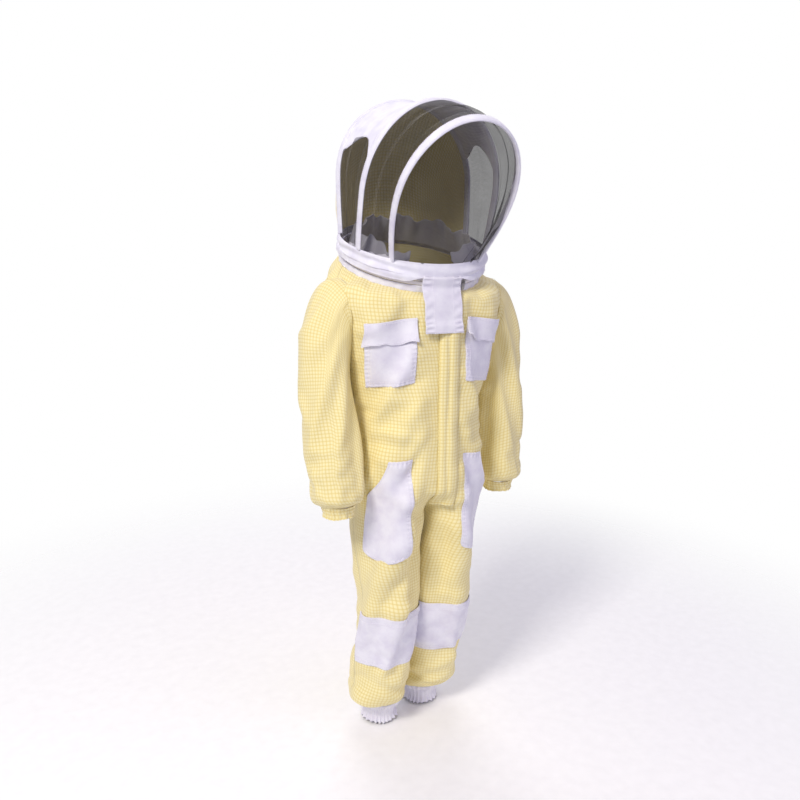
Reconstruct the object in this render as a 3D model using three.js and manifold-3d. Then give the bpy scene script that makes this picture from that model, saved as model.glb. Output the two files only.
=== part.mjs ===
// A child's three-layer ventilated beekeeping coverall with a zip-on fencing hood, in millimetres.
// +Z is up, the wearer faces -Y and the wearer's left is +X. The origin is on the wearer's neck line,
// midway between the shoulders that carry the suit.
import * as THREE from "three";
import { mergeVertices } from "three/addons/utils/BufferGeometryUtils.js";
import Module from "manifold-3d";

const wasm = await Module();
wasm.setup();

// ---------------------------------------------------------------- driving dimensions
const GAP = 0.4; // between pieces that are sewn or laid together
const MESH_CLOTH = 4; // three-layer ventilated cloth
const COTTON = 1.6; // white poly-cotton, doubled at pockets, bands and patches
const NET = 1.2; // veil netting
const LAY = 1.6; // how far a patch lies off the cloth below it, over the cloth's facets
const HEM_FOLD = 3.4; // how far a flap lies off the pocket below it

const NECK_RADIUS = 136; // the zip that joins hood and suit runs round this circle
const NECK_TILT = THREE.MathUtils.degToRad(17); // the neck circle leans forward
const NECK_CENTRE = new THREE.Vector3(0, 14, 32);
const NECK_END = 168; // degrees round from the front where each neck zip ends, at the back
const FACING_DROP = 21; // depth of the white facing below the neck zip
const BAND_RISE = 30; // height of the white band above the neck zip
const BAND_WIDE = NECK_RADIUS + 7; // half width and half depth of the band's top edge
const BAND_DEEP = NECK_RADIUS - 9;
const TAPE = 8; // zip tape on each side of the neck zip
const TAPE_THICK = 1.2;
const TEETH = 2.4; // thickness of the row of teeth
const SLIDER_WALL = 1.2;
const SLIDER_PLAY = 0.3;
const SLIDER_LONG = 10;
const PULL_LONG = 15;
const SLIDER_AT = { right: -7, left: 21 }; // degrees round from the front, zip closed

const ZIP_X = 15; // the front zip runs a little to the wearer's left, under its fly
const ZIP_HALF = 6; // half the width of the zip between the two front panels
const ZIP_SPLIT = 2; // between the two halves of the front zip, where the slider's web runs
const ZIP_TOP = -46;
const ZIP_BOTTOM = -396;
const FLY_TOP = -88; // its upper end is under the neck flap
const FLY_HALF = 21;
const FLY_RISE = 8; // the fly stands clear of the slider below it
const FRONT_STEP = 8; // how far the chest stands in front of the neck circle
const FRONT_LEAN = 0.055; // how far that line comes forward for each mm down

const CROTCH = -452;
const WAIST = -290;
const WAISTBAND = 30;
const LEG_HEM = -906;
const ANKLE_END = -946;
const ANKLE_RADIUS = 34;
const LEG_GAP = 4; // half the space between the trouser legs
const STRIDE = 15; // the wearer's right foot stands this far ahead of the side seam line, the left behind

const SHOULDER = new THREE.Vector3(160, 0, -45);
const WRIST_RADIUS = 29;
const CUFF_LENGTH = 11;
const ELASTIC = 1.2; // thickness of the elastic bands
const ELASTIC_WIDE = 12;

const HOOP_WIRE = 2; // radius of the hood's spring hoops
const CASING_HALF = 9; // half the width of the cotton casing sewn over each hoop
const CASING_DEEP = 3.4;

// ---------------------------------------------------------------- finishes
const finish = (color, roughness, metalness = 0) =>
  new THREE.MeshStandardMaterial({ color, roughness, metalness });
const ventilatedCloth = finish("#ecdf9e", 0.9);
const whiteCotton = finish("#e9e6f0", 0.85);
const blackNet = finish("#161514", 0.8);
const zipTape = finish("#eeeaf2", 0.8);
const zipTeeth = finish("#d9d8dc", 0.4);
const nickel = finish("#b9b9bb", 0.3, 1);
const springSteel = finish("#8d8f92", 0.35, 1);
const elastic = finish("#dcd8e2", 0.9);
const hookTape = finish("#f1eff4", 0.95);

// ---------------------------------------------------------------- solids
const vec = (x, y, z) => new THREE.Vector3(x, y, z);
const lerp = THREE.MathUtils.lerp;
const radians = THREE.MathUtils.degToRad;

// A closed surface with its faces turned outwards.
function closed(positions, index) {
  const at = (i) => vec(...positions.slice(3 * i, 3 * i + 3));
  let volume = 0;
  for (let i = 0; i < index.length; i += 3)
    volume += at(index[i]).dot(at(index[i + 1]).cross(at(index[i + 2])));
  const g = new THREE.BufferGeometry();
  g.setAttribute("position", new THREE.Float32BufferAttribute(positions, 3));
  g.setIndex(volume < 0 ? index.reverse() : index);
  return g;
}

// The closed solid inside a stack of rings, each an array of the same number of points.
function loft(rings) {
  const n = rings[0].length;
  const positions = rings.flat().flatMap((p) => p.toArray());
  const index = [];
  for (let k = 0; k < rings.length - 1; k++)
    for (let i = 0; i < n; i++) {
      const a = k * n + i;
      const b = k * n + ((i + 1) % n);
      index.push(a, b, b + n, a, b + n, a + n);
    }
  const last = (rings.length - 1) * n;
  for (const [a, b, c] of capTriangles(rings[0])) index.push(c, b, a);
  for (const [a, b, c] of capTriangles(rings.at(-1))) index.push(a + last, b + last, c + last);
  return closed(positions, index);
}

// The triangles that fill a flat ring of points, wound the way the ring runs.
function capTriangles(ring) {
  const normal = vec(0, 0, 0);
  ring.forEach((p, i) => normal.add(p.clone().cross(ring[(i + 1) % ring.length])));
  normal.normalize();
  const right = vec(1, 0.3, 0.2).cross(normal).normalize();
  const up = normal.clone().cross(right);
  const flat = ring.map((p) => new THREE.Vector2(p.dot(right), p.dot(up)));
  const area = (a, b, c) => b.clone().sub(a).cross(c.clone().sub(a));
  return THREE.ShapeUtils.triangulateShape(flat, []).map(([a, b, c]) =>
    area(flat[a], flat[b], flat[c]) > 0 ? [a, b, c] : [a, c, b],
  );
}

// A closed ring: sections, each an array of the same number of points, joined round and back again.
function wrap(sections) {
  const n = sections[0].length;
  const positions = sections.flat().flatMap((p) => p.toArray());
  const index = [];
  for (let k = 0; k < sections.length; k++)
    for (let i = 0; i < n; i++) {
      const j = (i + 1) % n;
      const a = k * n;
      const b = ((k + 1) % sections.length) * n;
      index.push(a + i, a + j, b + j, a + i, b + j, b + i);
    }
  return closed(positions, index);
}

// A closed sheet of cloth on the surface point(u, v), u to the right and v up as seen from outside.
function sheet(point, nu, nv, thickness, gap = 0) {
  const e = 1e-3;
  const outward = (u, v) => {
    const du = point(Math.min(u + e, 1), v).sub(point(Math.max(u - e, 0), v));
    const dv = point(u, Math.min(v + e, 1)).sub(point(u, Math.max(v - e, 0)));
    return du.cross(dv).normalize();
  };
  const positions = [];
  for (const offset of [gap + thickness, gap])
    for (let j = 0; j <= nv; j++)
      for (let i = 0; i <= nu; i++) {
        const u = i / nu;
        const v = j / nv;
        // a hair inside the ends, where a surface may come to a point and have no normal
        const n = outward(THREE.MathUtils.clamp(u, 0.01, 0.99), THREE.MathUtils.clamp(v, 0.01, 0.99));
        positions.push(...point(u, v).addScaledVector(n, offset).toArray());
      }
  const w = nu + 1;
  const layer = w * (nv + 1);
  const index = [];
  const quad = (a, b, c, d) => index.push(a, b, c, a, c, d);
  for (let j = 0; j < nv; j++)
    for (let i = 0; i < nu; i++) {
      const a = j * w + i;
      quad(a, a + 1, a + w + 1, a + w);
      quad(layer + a, layer + a + w, layer + a + w + 1, layer + a + 1);
    }
  for (let i = 0; i < nu; i++) {
    const top = nv * w + i;
    quad(layer + i, layer + i + 1, i + 1, i);
    quad(top, top + 1, layer + top + 1, layer + top);
  }
  for (let j = 0; j < nv; j++) {
    const a = j * w;
    const b = a + nu;
    quad(layer + a + w, layer + a, a, a + w);
    quad(layer + b, layer + b + w, b + w, b);
  }
  return closed(positions, index);
}

function mergeBare(geometry) {
  const bare = geometry.clone();
  bare.deleteAttribute("normal");
  bare.deleteAttribute("uv");
  return mergeVertices(bare, 1e-3);
}

function solid(geometry) {
  const merged = mergeBare(geometry);
  return new wasm.Manifold(
    new wasm.Mesh({
      numProp: 3,
      vertProperties: new Float32Array(merged.attributes.position.array),
      triVerts: new Uint32Array(merged.index.array),
    }),
  );
}

function geometryOf(manifold) {
  const m = manifold.getMesh();
  const positions = [];
  for (let i = 0; i < m.numVert; i++)
    positions.push(...m.vertProperties.subarray(i * m.numProp, i * m.numProp + 3));
  return closed(positions, Array.from(m.triVerts));
}

// A box between two corners, optionally sheared by a matrix, as a solid to cut with.
function block(low, high, matrix) {
  const size = high.clone().sub(low);
  const g = new THREE.BoxGeometry(size.x, size.y, size.z);
  g.translate(...low.clone().add(high).multiplyScalar(0.5).toArray());
  if (matrix) g.applyMatrix4(matrix);
  return solid(g);
}

const suit = new THREE.Group();
function add(name, shape, material) {
  const geometry = shape.isBufferGeometry ? shape : geometryOf(shape);
  const mesh = new THREE.Mesh(geometry, material);
  mesh.name = name;
  suit.add(mesh);
  return mesh;
}

const SIDES = [["right", -1], ["left", 1]]; // the wearer's sides, and the sign of x there

// ---------------------------------------------------------------- body surface
// y of the straight front line
const FRONT_TOP = NECK_CENTRE.y - NECK_RADIUS * Math.cos(NECK_TILT) - FRONT_STEP;
const frontY = (z) => FRONT_TOP + FRONT_LEAN * (z - ZIP_TOP);

// The side seams: [z, y] down the body. Below the crotch each leg's seam follows its stride.
const SEAM = [[200, 3], [CROTCH, -22], [-665, -45], [-780, -27], [LEG_HEM, 4], [LEG_HEM - 100, 4]];
const stride = (z, side) => side * STRIDE * THREE.MathUtils.clamp((z - CROTCH) / (LEG_HEM - CROTCH), 0, 1);
function seamY(z, side = 0) {
  const k = Math.max(1, SEAM.findIndex((p) => p[0] <= z));
  const [[z0, y0], [z1, y1]] = [SEAM[k - 1], SEAM[k]];
  return lerp(y0, y1, (z - z0) / (z1 - z0)) + stride(z, side);
}

// Level cross-sections: z, centre x, half width, front depth and back depth from the side seam.
const torsoStations = [
  { z: -46, wide: 174, back: 126 },
  { z: -90, wide: 164, back: 118 },
  { z: -135, wide: 150, back: 108 },
  { z: -180, wide: 140, back: 99 },
  { z: -240, wide: 129, back: 90 },
  { z: WAIST, wide: 124, back: 86 },
  { z: -345, wide: 129, back: 97 },
  { z: -400, wide: 133, back: 106 },
  { z: -428, wide: 128, back: 98, front: 104 },
  { z: CROTCH, wide: 112, back: 74, front: 68 },
].map((s) => ({ x: 0, front: seamY(s.z) - frontY(s.z), ...s }));
const legStations = [
  { z: -400, wide: 56, front: 104, back: 96 },
  { z: CROTCH, wide: 63, front: 110, back: 104 },
  { z: -520, wide: 61, front: 94, back: 80 },
  { z: -600, wide: 60, front: 78, back: 68 },
  { z: -665, wide: 60, front: 68, back: 66 },
  { z: -725, wide: 59, front: 64, back: 62 },
  { z: -780, wide: 59, front: 62, back: 58 },
  { z: -845, wide: 60, front: 60, back: 58 },
  { z: LEG_HEM + 21, wide: 61, front: 61, back: 60 },
  { z: LEG_HEM, wide: 52, front: 52, back: 51 },
].map((s) => ({ ...s, x: s.wide + LEG_GAP }));

function between(stations, z) {
  const k = Math.max(1, stations.findIndex((s) => s.z <= z));
  const [a, b] = [stations[k - 1], stations[k]];
  const t = THREE.MathUtils.clamp((a.z - z) / (a.z - b.z), 0, 1);
  const mix = (key) => lerp(a[key], b[key], t);
  return { z, x: mix("x"), wide: mix("wide"), front: mix("front"), back: mix("back") };
}

// The point at an angle round a cross-section: 0 is the front, 90 degrees the wearer's left.
// The trunk is squarer than an ellipse, and the legs are elliptical.
function sectionPoint(s, angle, side = 1, shrink = 0) {
  const power = s.x ? 1 : 2 / 2.5;
  const soft = (v) => Math.sign(v) * Math.abs(v) ** power;
  const depth = Math.cos(angle) > 0 ? s.front : s.back;
  return vec(
    side * s.x + (s.wide - shrink) * soft(Math.sin(angle)),
    seamY(s.z, s.x ? side : 0) - (depth - shrink) * soft(Math.cos(angle)),
    s.z,
  );
}

// The front of the coverall at a place x across and z up.
function frontPoint(x, z) {
  const side = Math.sign(x) || 1;
  const depth = (s, power, place) => {
    const across = Math.abs(x - side * s.x) / s.wide;
    return across < 1 ? seamY(z, place) - s.front * (1 - across ** power) ** (1 / power) : Infinity;
  };
  const trunk = z > CROTCH ? depth(between(torsoStations, z), 2.5, 0) : Infinity;
  const leg = z < -400 ? depth(between(legStations, z), 2, side) : Infinity;
  const y = Math.min(trunk, leg);
  return vec(x, Number.isFinite(y) ? y : seamY(z, side), z);
}
// A patch bridges the hollows of what it is sewn on.
function overFront(x, z) {
  const near = [-9, 0, 9].map((dz) => frontPoint(x, z + dz).y);
  return vec(x, Math.min(...near), z);
}

const ringOf = (s, count, side, shrink) =>
  Array.from({ length: count }, (_, i) => sectionPoint(s, (2 * Math.PI * i) / count, side, shrink));

// The neck circle: degrees round from the front towards the wearer's left, height along its axis.
const neckAxis = vec(0, -Math.sin(NECK_TILT), Math.cos(NECK_TILT));
const neckFront = vec(0, -Math.cos(NECK_TILT), -Math.sin(NECK_TILT));
function neckPoint(degrees, radius, height) {
  const a = radians(degrees);
  return NECK_CENTRE.clone()
    .addScaledVector(vec(1, 0, 0), radius * Math.sin(a))
    .addScaledVector(neckFront, radius * Math.cos(a))
    .addScaledVector(neckAxis, height);
}

const TORSO_SIDES = 28;
const LEG_SIDES = 16;

// From the facing's lower edge the yoke slopes out to the shoulders.
function torsoSolid(shrink) {
  const neck = (radius, height) =>
    Array.from({ length: TORSO_SIDES }, (_, i) =>
      neckPoint((360 * i) / TORSO_SIDES, radius - shrink, height),
    );
  const top = neck(NECK_RADIUS + 2, shrink > 0 ? -FACING_DROP + 1 : -FACING_DROP - GAP);
  const first = ringOf(torsoStations[0], TORSO_SIDES, 1, shrink);
  const shoulder = top.map((p, i) => {
    const q = first[i];
    const out = vec(q.x, q.y, 0).lerp(vec(p.x, p.y, 0), 0.28);
    return vec(out.x, out.y, lerp(q.z, p.z, 0.64) - shrink * 0.7);
  });
  const rings = [top, shoulder, first];
  rings.push(...torsoStations.slice(1).map((s) => ringOf(s, TORSO_SIDES, 1, shrink)));
  if (shrink > 0) rings.unshift(neck(NECK_RADIUS + 2, 10));
  return solid(loft(rings.reverse()));
}

function legSolid(side, shrink) {
  const rings = legStations.map((s) => ringOf(s, LEG_SIDES, side, shrink));
  if (shrink > 0) {
    const low = rings.at(-1).map((p) => p.clone().add(vec(0, 0, -10)));
    rings.push(low);
  }
  return solid(loft(rings.reverse()));
}

// ---------------------------------------------------------------- sleeves
// Centre, direction, half width across and half depth front to back, down the wearer's left arm.
const sleeveStations = [
  { at: vec(118, 0, -62), down: vec(0.97, 0, -0.25), across: 62, deep: 70 },
  { at: vec(158, -2, -76), down: vec(0.86, 0, -0.5), across: 62, deep: 66 },
  { at: vec(180, -6, -112), down: vec(0.42, -0.05, -0.9), across: 52, deep: 61 },
  { at: vec(190, -12, -170), down: vec(0.06, -0.08, -1), across: 45, deep: 58 },
  { at: vec(190, -22, -240), down: vec(-0.02, -0.12, -1), across: 48, deep: 57 },
  { at: vec(187, -34, -310), down: vec(-0.03, -0.16, -1), across: 50, deep: 56 },
  { at: vec(185, -44, -372), down: vec(-0.02, -0.15, -1), across: 49, deep: 54 },
  { at: vec(184, -51, -414), down: vec(0, -0.12, -1), across: 46, deep: 49 },
  { at: vec(184, -54, -434), down: vec(0, -0.1, -1), across: 36, deep: 38 },
];
const SLEEVE_SIDES = 16;
// The arms hang a little unevenly: degrees forward, and degrees away from the body.
const ARM_REST = { right: { swing: 5, lean: 0 }, left: { swing: -3, lean: 2 } };

const sleeveTurn = (name, side) =>
  new THREE.Matrix4()
    .makeTranslation(side * SHOULDER.x, SHOULDER.y, SHOULDER.z)
    .multiply(new THREE.Matrix4().makeRotationX(-radians(ARM_REST[name].swing)))
    .multiply(new THREE.Matrix4().makeRotationY(-side * radians(ARM_REST[name].lean)))
    .multiply(new THREE.Matrix4().makeTranslation(-side * SHOULDER.x, -SHOULDER.y, -SHOULDER.z));

function sleeveRing(s, side, shrink) {
  const down = s.down.clone().normalize();
  const back = vec(0, 1, 0).addScaledVector(down, -down.y).normalize();
  const out = back.clone().cross(down).normalize(); // away from the body on the wearer's left
  return Array.from({ length: SLEEVE_SIDES }, (_, i) => {
    const a = (2 * Math.PI * i) / SLEEVE_SIDES;
    const p = s.at
      .clone()
      .addScaledVector(out, (s.across - shrink) * Math.cos(a))
      .addScaledVector(back, (s.deep - shrink) * Math.sin(a));
    return vec(side * p.x, p.y, p.z);
  });
}

function sleeveSolid(name, side, shrink) {
  const rings = sleeveStations.map((s) => sleeveRing(s, side, shrink));
  if (shrink > 0) rings.push(rings.at(-1).map((p) => p.clone().add(vec(0, 0, -8))));
  const g = loft(rings);
  g.applyMatrix4(sleeveTurn(name, side));
  return solid(g);
}

// ---------------------------------------------------------------- coverall panels
const BIG = 2000;
const outer = torsoSolid(0).add(legSolid(-1, 0)).add(legSolid(1, 0));
const crotchFloor = block(vec(-BIG, -BIG, -BIG), vec(BIG, BIG, CROTCH + MESH_CLOTH));
const inner = torsoSolid(MESH_CLOTH)
  .subtract(crotchFloor)
  .add(legSolid(-1, MESH_CLOTH))
  .add(legSolid(1, MESH_CLOTH));
const armholes = SIDES.map(([name, side]) => sleeveSolid(name, side, MESH_CLOTH));
const coverall = armholes.reduce((s, hole) => s.subtract(hole), outer.subtract(inner));

// Everything in front of the side seams (facing -1) or behind them (facing 1), short of them by a gap.
function beyondSeam(facing, gap) {
  const halves = SIDES.map(([, side]) => {
    const outline = new THREE.Shape();
    const zs = SEAM.map((p) => p[0]);
    outline.moveTo(facing * BIG, zs[0]);
    zs.forEach((z) => outline.lineTo(seamY(z, side) + facing * gap, z));
    outline.lineTo(facing * BIG, zs.at(-1));
    const g = new THREE.ExtrudeGeometry(outline, { depth: BIG, bevelEnabled: false });
    // the outline's x and y become y and z, and its depth runs along x
    g.applyMatrix4(new THREE.Matrix4().set(0, 0, 1, 0, 1, 0, 0, 0, 0, 1, 0, 0, 0, 0, 0, 1));
    if (side < 0) g.translate(-BIG, 0, 0);
    return solid(g);
  });
  return halves[0].add(halves[1]);
}

const FLY_END = ZIP_BOTTOM - 8; // below this the two front panels meet at the middle
const frontHalf = (side) => {
  const upper = block(
    vec(side < 0 ? -BIG : ZIP_X + ZIP_HALF, -BIG, FLY_END),
    vec(side < 0 ? ZIP_X - ZIP_HALF : BIG, BIG, BIG),
  );
  const lower = block(
    vec(side < 0 ? -BIG : GAP / 2, -BIG, -BIG),
    vec(side < 0 ? -GAP / 2 : BIG, BIG, FLY_END),
  );
  return upper.add(lower);
};
const fronts = coverall.intersect(beyondSeam(-1, GAP / 2));
const backs = coverall.intersect(beyondSeam(1, GAP / 2));
for (const [name, side] of SIDES)
  add(`front_panel_${name}`, fronts.intersect(frontHalf(side)), ventilatedCloth);

const slice = (low, high) => block(vec(-BIG, -BIG, low), vec(BIG, BIG, high));
const waistTop = WAIST + WAISTBAND / 2;
const waistLow = WAIST - WAISTBAND / 2;
add("back_bodice", backs.intersect(slice(waistTop + GAP, BIG)), ventilatedCloth);
add("back_waistband", backs.intersect(slice(waistLow, waistTop)), ventilatedCloth);
for (const [name, side] of SIDES) {
  const half = block(
    vec(side < 0 ? -BIG : GAP / 2, -BIG, -BIG),
    vec(side < 0 ? -GAP / 2 : BIG, BIG, waistLow - GAP),
  );
  add(`back_leg_${name}`, backs.intersect(half), ventilatedCloth);
}
const inside = torsoSolid(MESH_CLOTH + GAP).subtract(torsoSolid(MESH_CLOTH + GAP + ELASTIC));
const waistElastic = slice(WAIST - ELASTIC_WIDE, WAIST + ELASTIC_WIDE);
add("waist_elastic", inside.intersect(waistElastic).intersect(beyondSeam(1, 2)), elastic);

// ---------------------------------------------------------------- sleeves, cuffs and elastics
// A cuff: levels are { drop, across, deep } below the place it is sewn on, in a sleeve's or leg's frame.
function cuff(at, levels, thickness, sides, folds = 0) {
  const sections = [];
  for (let i = 0; i < sides; i++) {
    const a = (2 * Math.PI * i) / sides;
    const ripple = folds * (i % 2 ? 1 : -1);
    const point = (l, inset) =>
      at.clone().add(
        vec((l.across - inset + ripple) * Math.cos(a), (l.deep - inset + ripple) * Math.sin(a), -l.drop),
      );
    const outerEdge = levels.map((l) => point(l, 0));
    const innerEdge = levels.map((l) => point(l, thickness)).reverse();
    sections.push([...outerEdge, ...innerEdge]);
  }
  return wrap(sections);
}

const clearOfBody = torsoSolid(-GAP);
const wrist = sleeveStations.at(-1);
for (const [name, side] of SIDES) {
  const tube = sleeveSolid(name, side, 0).subtract(sleeveSolid(name, side, MESH_CLOTH));
  add(`sleeve_${name}`, tube.subtract(clearOfBody), ventilatedCloth);

  const at = vec(side * wrist.at.x, wrist.at.y, wrist.at.z);
  const level = (drop, radius) => ({ drop, across: radius, deep: radius });
  const band = cuff(
    at,
    [level(5, WRIST_RADIUS + 3), level(10, WRIST_RADIUS), level(CUFF_LENGTH + 5, WRIST_RADIUS - 1)],
    COTTON,
    16,
  );
  const snug = WRIST_RADIUS - COTTON - GAP;
  const ringEnd = CUFF_LENGTH + 4;
  const ring = cuff(
    at,
    [level(ringEnd - ELASTIC_WIDE, snug), level(ringEnd, snug - 1)],
    ELASTIC,
    16,
  );
  for (const g of [band, ring]) g.applyMatrix4(sleeveTurn(name, side));
  add(`sleeve_cuff_${name}`, band, ventilatedCloth);
  add(`wrist_elastic_${name}`, ring, elastic);
}

// ---------------------------------------------------------------- ankle cuffs and knee patches
const hem = legStations.at(-1);
for (const [name, side] of SIDES) {
  const at = vec(side * hem.x, seamY(LEG_HEM, side), LEG_HEM - GAP);
  const long = LEG_HEM - ANKLE_END - GAP;
  const level = (drop, radius) => ({ drop, across: radius, deep: radius });
  const ankle = [level(0, hem.wide - 2), level(long * 0.4, ANKLE_RADIUS), level(long * 0.7, ANKLE_RADIUS)];
  add(`ankle_cuff_${name}`, cuff(at, [...ankle, level(long, ANKLE_RADIUS + 4)], COTTON, 20), whiteCotton);
  const snug = ANKLE_RADIUS - COTTON - GAP;
  const ring = [level(long * 0.4 + 1, snug), level(long * 0.7 - 1, snug)];
  add(`ankle_elastic_${name}`, cuff(at, ring, ELASTIC, 20), elastic);

  const knee = (u, v) => {
    const s = between(legStations, lerp(-785, -666, v));
    return sectionPoint(s, radians(lerp(-84, 84, u)), side);
  };
  add(`knee_patch_${name}`, sheet(knee, 12, 4, COTTON, LAY), whiteCotton);
}

// ---------------------------------------------------------------- pockets and their flaps
// Each pocket is a quadrilateral on the front: [x, z] of its corners, from the middle outwards.
function onFront(side, { innerLow, outerLow, innerHigh, outerHigh }) {
  return (u, v) => {
    const t = side < 0 ? 1 - u : u;
    const x = lerp(lerp(innerLow[0], outerLow[0], t), lerp(innerHigh[0], outerHigh[0], t), v);
    const z = lerp(lerp(innerLow[1], outerLow[1], t), lerp(innerHigh[1], outerHigh[1], t), v);
    return overFront(side * x, z);
  };
}
const chestPocket = { innerLow: [51, -190], outerLow: [128, -205], innerHigh: [53, -76], outerHigh: [142, -88] };
const chestFlap = { innerLow: [49, -114], outerLow: [144, -127], innerHigh: [51, -70], outerHigh: [145, -82] };
// The side edge of the hip pocket is cut away for the hand.
const hipPocket = { innerLow: [50, -527], outerLow: [119, -548], innerHigh: [64, -334], outerHigh: [122, -338] };
for (const [name, side] of SIDES) {
  add(`chest_pocket_${name}`, sheet(onFront(side, chestPocket), 6, 5, COTTON, LAY), whiteCotton);
  const flapLay = LAY + COTTON + HEM_FOLD;
  add(`chest_flap_${name}`, sheet(onFront(side, chestFlap), 6, 2, COTTON, flapLay), whiteCotton);
  const pocket = solid(sheet(onFront(side, hipPocket), 8, 12, COTTON, LAY));
  const opening = block(vec(-14, -BIG, -46), vec(30, BIG, 46));
  const slant = new THREE.Matrix4()
    .makeTranslation(side * 130, 0, -378)
    .multiply(new THREE.Matrix4().makeRotationY(side * radians(9)));
  if (side < 0) slant.multiply(new THREE.Matrix4().makeRotationZ(Math.PI));
  add(`hip_pocket_${name}`, pocket.subtract(opening.transform(slant.toArray())), whiteCotton);
}

// ---------------------------------------------------------------- front zip and fly
const zipPoint = (x, z, forward = 0) => vec(ZIP_X + x, frontY(z) - forward, z);
const zipLean = Math.atan(FRONT_LEAN);
// An extrusion of an outline in x and forward, down the straight front line from one height to another.
function downFront(outline, top, bottom) {
  const shape = new THREE.Shape(outline.map(([x, f]) => new THREE.Vector2(x, f)));
  const g = new THREE.ExtrudeGeometry(shape, {
    depth: (top - bottom) / Math.cos(zipLean),
    bevelEnabled: false,
  });
  const origin = zipPoint(0, top);
  const down = vec(0, FRONT_LEAN, 1).normalize().negate();
  const forward = down.clone().cross(vec(1, 0, 0)).normalize();
  g.applyMatrix4(new THREE.Matrix4().makeBasis(vec(1, 0, 0), forward, down).setPosition(origin));
  const merged = mergeBare(g);
  return closed(Array.from(merged.attributes.position.array), Array.from(merged.index.array));
}
// Half of a zip: tape with a thicker row of teeth along its inner edge, lying behind the panel's face.
const tapeBack = -MESH_CLOTH / 2 - TAPE_THICK / 2;
const zipMiddle = -MESH_CLOTH / 2;
const split = ZIP_SPLIT / 2;
const halfZip = (side) =>
  [
    [split, zipMiddle - TEETH / 2],
    [split + 2, zipMiddle - TEETH / 2],
    [split + 2, tapeBack],
    [ZIP_HALF - GAP, tapeBack],
    [ZIP_HALF - GAP, tapeBack + TAPE_THICK],
    [split + 2, tapeBack + TAPE_THICK],
    [split + 2, zipMiddle + TEETH / 2],
    [split, zipMiddle + TEETH / 2],
  ].map(([x, f]) => [side * x, f]);
for (const [name, side] of SIDES)
  add(`front_zip_${name}`, downFront(halfZip(side), ZIP_TOP - 2, ZIP_BOTTOM), zipTape);

// The slider: front and back plates either side of the teeth, joined by a web that runs between them.
const reach = TEETH / 2 + SLIDER_PLAY;
const web = split - SLIDER_PLAY;
const sliderOutline = [
  [-4, zipMiddle - reach - SLIDER_WALL],
  [4, zipMiddle - reach - SLIDER_WALL],
  [4, zipMiddle - reach],
  [web, zipMiddle - reach],
  [web, zipMiddle + reach],
  [4, zipMiddle + reach],
  [4, zipMiddle + reach + SLIDER_WALL],
  [-4, zipMiddle + reach + SLIDER_WALL],
  [-4, zipMiddle + reach],
  [-web, zipMiddle + reach],
  [-web, zipMiddle - reach],
  [-4, zipMiddle - reach],
];
const FRONT_SLIDER_Z = ZIP_TOP - 6;
const frontSlider = downFront(sliderOutline, FRONT_SLIDER_Z, FRONT_SLIDER_Z - SLIDER_LONG);

// A slider's crown is a loop that the pull's top bar turns in. Both are made about that bar: z is up
// the pull and y runs from the bar back to the slider's face, CROWN_OUT away.
const CROWN_OUT = 1.6;
const CROWN_HALF = 3;
const BAR = 1; // thickness of the crown, the pull and its bar
const EYE_LONG = 6;
function crown(m) {
  const outerEdge = block(vec(-0.9, -BAR * 2.2, -CROWN_HALF), vec(0.9, CROWN_OUT + 0.4, CROWN_HALF));
  const room = CROWN_HALF - BAR;
  return outerEdge.subtract(block(vec(-2, -BAR * 1.2, -room), vec(2, 9, room))).transform(m.toArray());
}
function pullTab(m) {
  const w = 3.4;
  const bar = BAR / 2;
  const outline = new THREE.Shape();
  outline.moveTo(-w, bar);
  outline.lineTo(-w, -PULL_LONG + 3);
  outline.lineTo(-w + 1.4, -PULL_LONG);
  outline.lineTo(w - 1.4, -PULL_LONG);
  outline.lineTo(w, -PULL_LONG + 3);
  outline.lineTo(w, bar);
  const eye = new THREE.Path();
  const e = 1.5;
  eye.moveTo(-e, -bar - EYE_LONG);
  eye.lineTo(e, -bar - EYE_LONG);
  eye.lineTo(e, -bar);
  eye.lineTo(-e, -bar);
  outline.holes.push(eye);
  const g = new THREE.ExtrudeGeometry(outline, { depth: BAR, bevelEnabled: false });
  g.translate(0, 0, -BAR / 2);
  g.applyMatrix4(new THREE.Matrix4().makeRotationX(Math.PI / 2));
  g.applyMatrix4(m);
  return solid(g);
}
// A pull's frame: x across the pull, y from its axis back to the slider, z up the pull.
const hang = (origin, across, up) => {
  const x = across.clone().normalize();
  const z = up.clone().normalize();
  return new THREE.Matrix4().makeBasis(x, z.clone().cross(x), z).setPosition(origin);
};
const sliderFace = zipMiddle + reach + SLIDER_WALL;
const frontBar = zipPoint(0, FRONT_SLIDER_Z - 3, sliderFace + CROWN_OUT);
const frontHang = hang(frontBar, vec(1, 0, 0), vec(0, 0, 1));
add("front_zip_slider", solid(frontSlider).add(crown(frontHang)), nickel);
add("front_zip_pull", pullTab(frontHang), nickel);

// The fly is sewn beside the zip on the wearer's right and lies over it in an arch.
const fly = (u, v) => {
  const p = overFront(lerp(-FLY_HALF, FLY_HALF, u) + ZIP_X, lerp(CROTCH + 16, FLY_TOP, v));
  return p.add(vec(0, -FLY_RISE * Math.sin(Math.PI * u) ** 0.6, 0));
};
add("zip_fly", sheet(fly, 6, 11, MESH_CLOTH / 2, LAY), ventilatedCloth);

// ---------------------------------------------------------------- neck: facing, zip and sliders
const STEPS = 30;
const ringAngles = (from, to, count) =>
  Array.from({ length: count + 1 }, (_, i) => lerp(from, to, i / count));
// A closed bar of a section, [radius, height] in the neck's frame, between two angles round it.
const neckBar = (section, from, to, count = STEPS) =>
  loft(ringAngles(from, to, count).map((d) => section.map(([r, h]) => neckPoint(d, r, h))));
const neckRing = (section) =>
  wrap(ringAngles(0, 360, STEPS).slice(0, STEPS).map((d) => section(d).map(([r, h]) => neckPoint(d, r, h))));

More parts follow.
